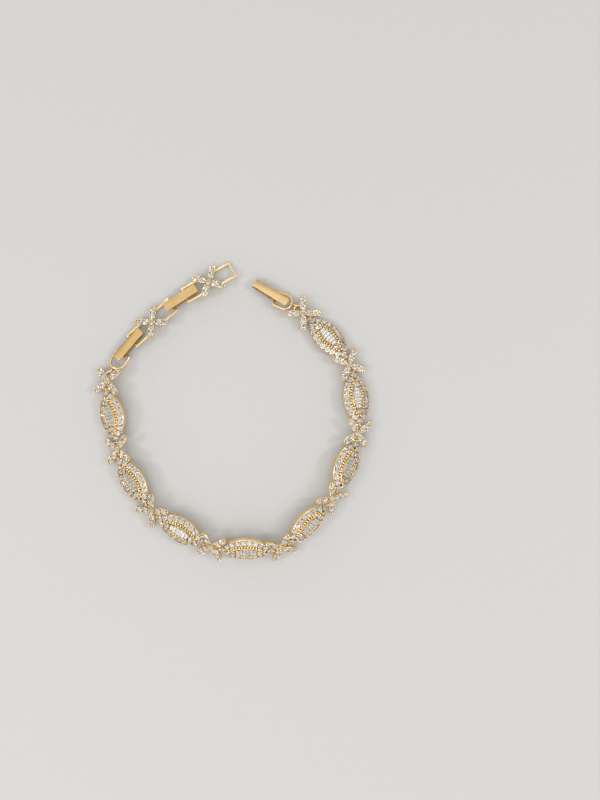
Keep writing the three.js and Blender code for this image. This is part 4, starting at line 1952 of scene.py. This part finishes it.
FOLDS = {
    "clasp": Fold("clasp_plate", "clasp_cover", "main_cover"),
    "extender_bar_1": Fold("extender_plate_1", "extender_cover_1", "bar_cover_1"),
    "extender_bar_2": Fold("extender_plate_2", "extender_cover_2", "bar_cover_2"),
}


@dataclass
class Bracelet:
    """The whole bracelet: one model of each kind of link, copied to every place in the chain.

    Attributes:
        wardrobe: Where the finishes hang.
        models: The models built so far.
    """

    wardrobe: Wardrobe
    models: dict[Kind, Parts] = field(default_factory=dict)

    def link_model(self, kind: Kind) -> Parts:
        """Build a stone-set link's model, or give the one already built.

        Args:
            kind: A leaf or one of the crosses.

        Returns:
            Its three pieces, dressed.
        """
        if kind not in self.models:
            link = LeafLink() if kind is Kind.LEAF else CrossLink(*NOTCHES[kind])
            gold = LEAF_GOLD if kind is Kind.LEAF else CROSS_GOLD
            parts = link.build()
            # The setting's second material paints shade on its beds.
            self.wardrobe.dress(parts.setting, gold, RECESS_PAINTED_SHADE)
            self.wardrobe.dress(parts.claws, gold)
            self.wardrobe.dress(parts.stones, CLEAR_STONE, FOIL, OBLONG_STONE)
            self.models[kind] = parts
        return self.models[kind]

    def place_link(self, lie: Lie, place: Matrix) -> None:
        """Copy a stone-set link to its place.

        Args:
            lie: The link.
            place: Its placing matrix.
        """
        parts = self.link_model(lie.kind)
        gold = "leaf_gold" if lie.kind is Kind.LEAF else "cross_gold"
        slots = {"setting": gold, "stones": "clear_stone", "claws": gold}
        for part, (suffix, slot) in zip(parts, slots.items()):
            piece = clone(part, f"{lie.name}_{suffix}", place)
            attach(piece, "chain")
            if suffix == "setting":
                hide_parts(lie.name)
        log.info("%s: setting, stones and claws", lie.name)

    def place_plain(self, piece: Mesh, node: str, body: str, place: Matrix, gold: GoldFinish) -> None:
        """Move a smooth gold piece to its place and let it stand for its node.

        Args:
            piece: The piece, in its own frame.
            node: The node that it stands for.
            body: The body that it rides on.
            place: Its placing matrix.
            gold: Its finish.
        """
        piece.name = f"{node}_gold"
        piece.data.transform(place)
        self.wardrobe.dress(piece, gold)
        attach(piece, body)
        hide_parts(node)
        log.info("%s: smooth gold", node)

    def build(self) -> None:
        """Build every piece and put it in its place."""
        for lie, place in walk(CHAIN):
            if lie.kind in (Kind.MAIN_FRAME, Kind.EXTENDER_FRAME):
                self.place_plain(U_FRAME.build(), lie.name, "chain", place, PLAIN_GOLD)
            elif lie.name in FOLDS:
                main_clasp = lie.kind is Kind.MAIN_CLASP
                # The extender bars take the darker copy of the plain gold, which is painted shade.
                clasp, gold = (MAIN_CLASP, PLAIN_GOLD) if main_clasp else (EXTENDER_BAR, SHADED_BAR_GOLD)
                fold = FOLDS[lie.name]
                self.place_plain(clasp.plate(), fold.plate, "chain", place, gold)
                self.place_plain(clasp.cover(), fold.cover, fold.body, place, gold)
            else:
                self.place_link(lie, place)
        for model in self.models.values():
            for part in model:
                discard(part)


# ------------------------------------------------------------------ table, light and camera


class Lamp(NamedTuple):
    """Soft square lamp that points at the bracelet.

    Attributes:
        name: Its name.
        at: Where it hangs.
        size: Its side.
        watts: Its power.
        colour: Its colour.
    """

    name: str
    at: tuple[float, float, float]
    size: float
    watts: float
    colour: Colour


WARM_WHITE = (1.0, 0.98, 0.95)
LAMPS = (
    Lamp("key", (-0.1, -0.45, 0.52), 0.6, 1.6, WARM_WHITE),
    Lamp("spark_left", (-0.5, -0.1, 0.4), 0.08, 0.9, WARM_WHITE),
    Lamp("spark_right", (0.5, 0.0, 0.45), 0.08, 0.9, (0.97, 0.98, 1.0)),
    Lamp("spark_back", (-0.25, 0.6, 0.25), 0.16, 0.4, (0.97, 0.96, 1.0)),
)
SKY = (
    (0.0, 0.62, 0.61, 0.60),
    (0.16, 1.0, 0.99, 0.98),
    (0.34, 1.6, 1.584, 1.568),
    (0.38, 0.1, 0.099, 0.098),
    (0.46, 0.12, 0.1188, 0.1176),
    (0.58, 1.0, 0.99, 0.97),
)
SKY_STRENGTH = 1.25


@dataclass
class Studio:
    """Plain pale table under soft light, seen from above; sizes are in metres.

    Attributes:
        aim: The point that the camera and the lamps look at.
        distance: The camera's distance from it.
        tilt: How far the camera stands to the near side of straight above.
        seen_height: How much of the table the camera sees from top to bottom.
        table_size: Side of the table.
        near_clip: Where the camera starts to see.
    """

    aim: Vector = field(default_factory=lambda: Vector((17.128, 2.695, 0)) * MM)
    distance: float = 0.255
    tilt: float = math.radians(2.5)
    seen_height: float = 0.2056
    table_size: float = 2.4
    near_clip: float = 0.01

    def table(self) -> None:
        """Lay the pale table."""
        bpy.ops.object.select_all(action="DESELECT")
        bpy.ops.mesh.primitive_plane_add(size=self.table_size)
        table = named("table")
        table.data.materials.append(PALE_TABLE.material())

    def hang(self, lamp: Lamp) -> None:
        """Hang a lamp.

        Args:
            lamp: The lamp.
        """
        data = bpy.data.lights.new(lamp.name, "AREA")
        data.size, data.energy, data.color = lamp.size, lamp.watts, lamp.colour
        light = bpy.data.objects.new(lamp.name, data)
        bpy.context.scene.collection.objects.link(light)
        light.location = lamp.at
        light.rotation_euler = (self.aim - light.location).to_track_quat("-Z", "Y").to_euler()

    def sky(self) -> None:
        """Set the surrounding light, which changes with height."""
        world = bpy.data.worlds.new("studio")
        world.use_nodes = True
        nodes, links = world.node_tree.nodes, world.node_tree.links
        place = add_node(nodes, "ShaderNodeTexCoord")
        split = add_node(nodes, "ShaderNodeSeparateXYZ")
        sky = add_node(nodes, "ShaderNodeValToRGB")
        set_steps(sky, SKY)
        nodes["Background"].inputs["Strength"].default_value = SKY_STRENGTH
        links.new(place.outputs["Generated"], split.inputs["Vector"])
        links.new(split.outputs["Z"], sky.inputs["Fac"])
        links.new(sky.outputs["Color"], nodes["Background"].inputs["Color"])
        bpy.context.scene.world = world
        bpy.context.scene.view_settings.view_transform = "Standard"

    def camera(self) -> None:
        """Set the camera above the table."""
        data = bpy.data.cameras.new("camera")
        data.sensor_fit = "VERTICAL"
        data.angle_y = 2 * math.atan(self.seen_height / 2 / self.distance)
        data.clip_start = self.near_clip
        camera = bpy.data.objects.new("camera", data)
        bpy.context.scene.collection.objects.link(camera)
        away = Vector((0, -math.sin(self.tilt), math.cos(self.tilt)))
        camera.location = self.aim + self.distance * away
        camera.rotation_euler = (self.tilt, 0, 0)
        bpy.context.scene.camera = camera

    def build(self) -> None:
        """Set up the table, the lamps, the sky and the camera."""
        self.table()
        for lamp in LAMPS:
            self.hang(lamp)
        self.sky()
        self.camera()
        log.info("table, lamps and camera")


def main() -> None:
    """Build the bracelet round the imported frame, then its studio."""
    logging.basicConfig(level=logging.INFO, format="%(name)s: %(message)s")
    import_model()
    bpy.ops.object.select_all(action="DESELECT")
    Bracelet(Wardrobe()).build()
    Studio().build()


if __name__ == "__main__":
    main()
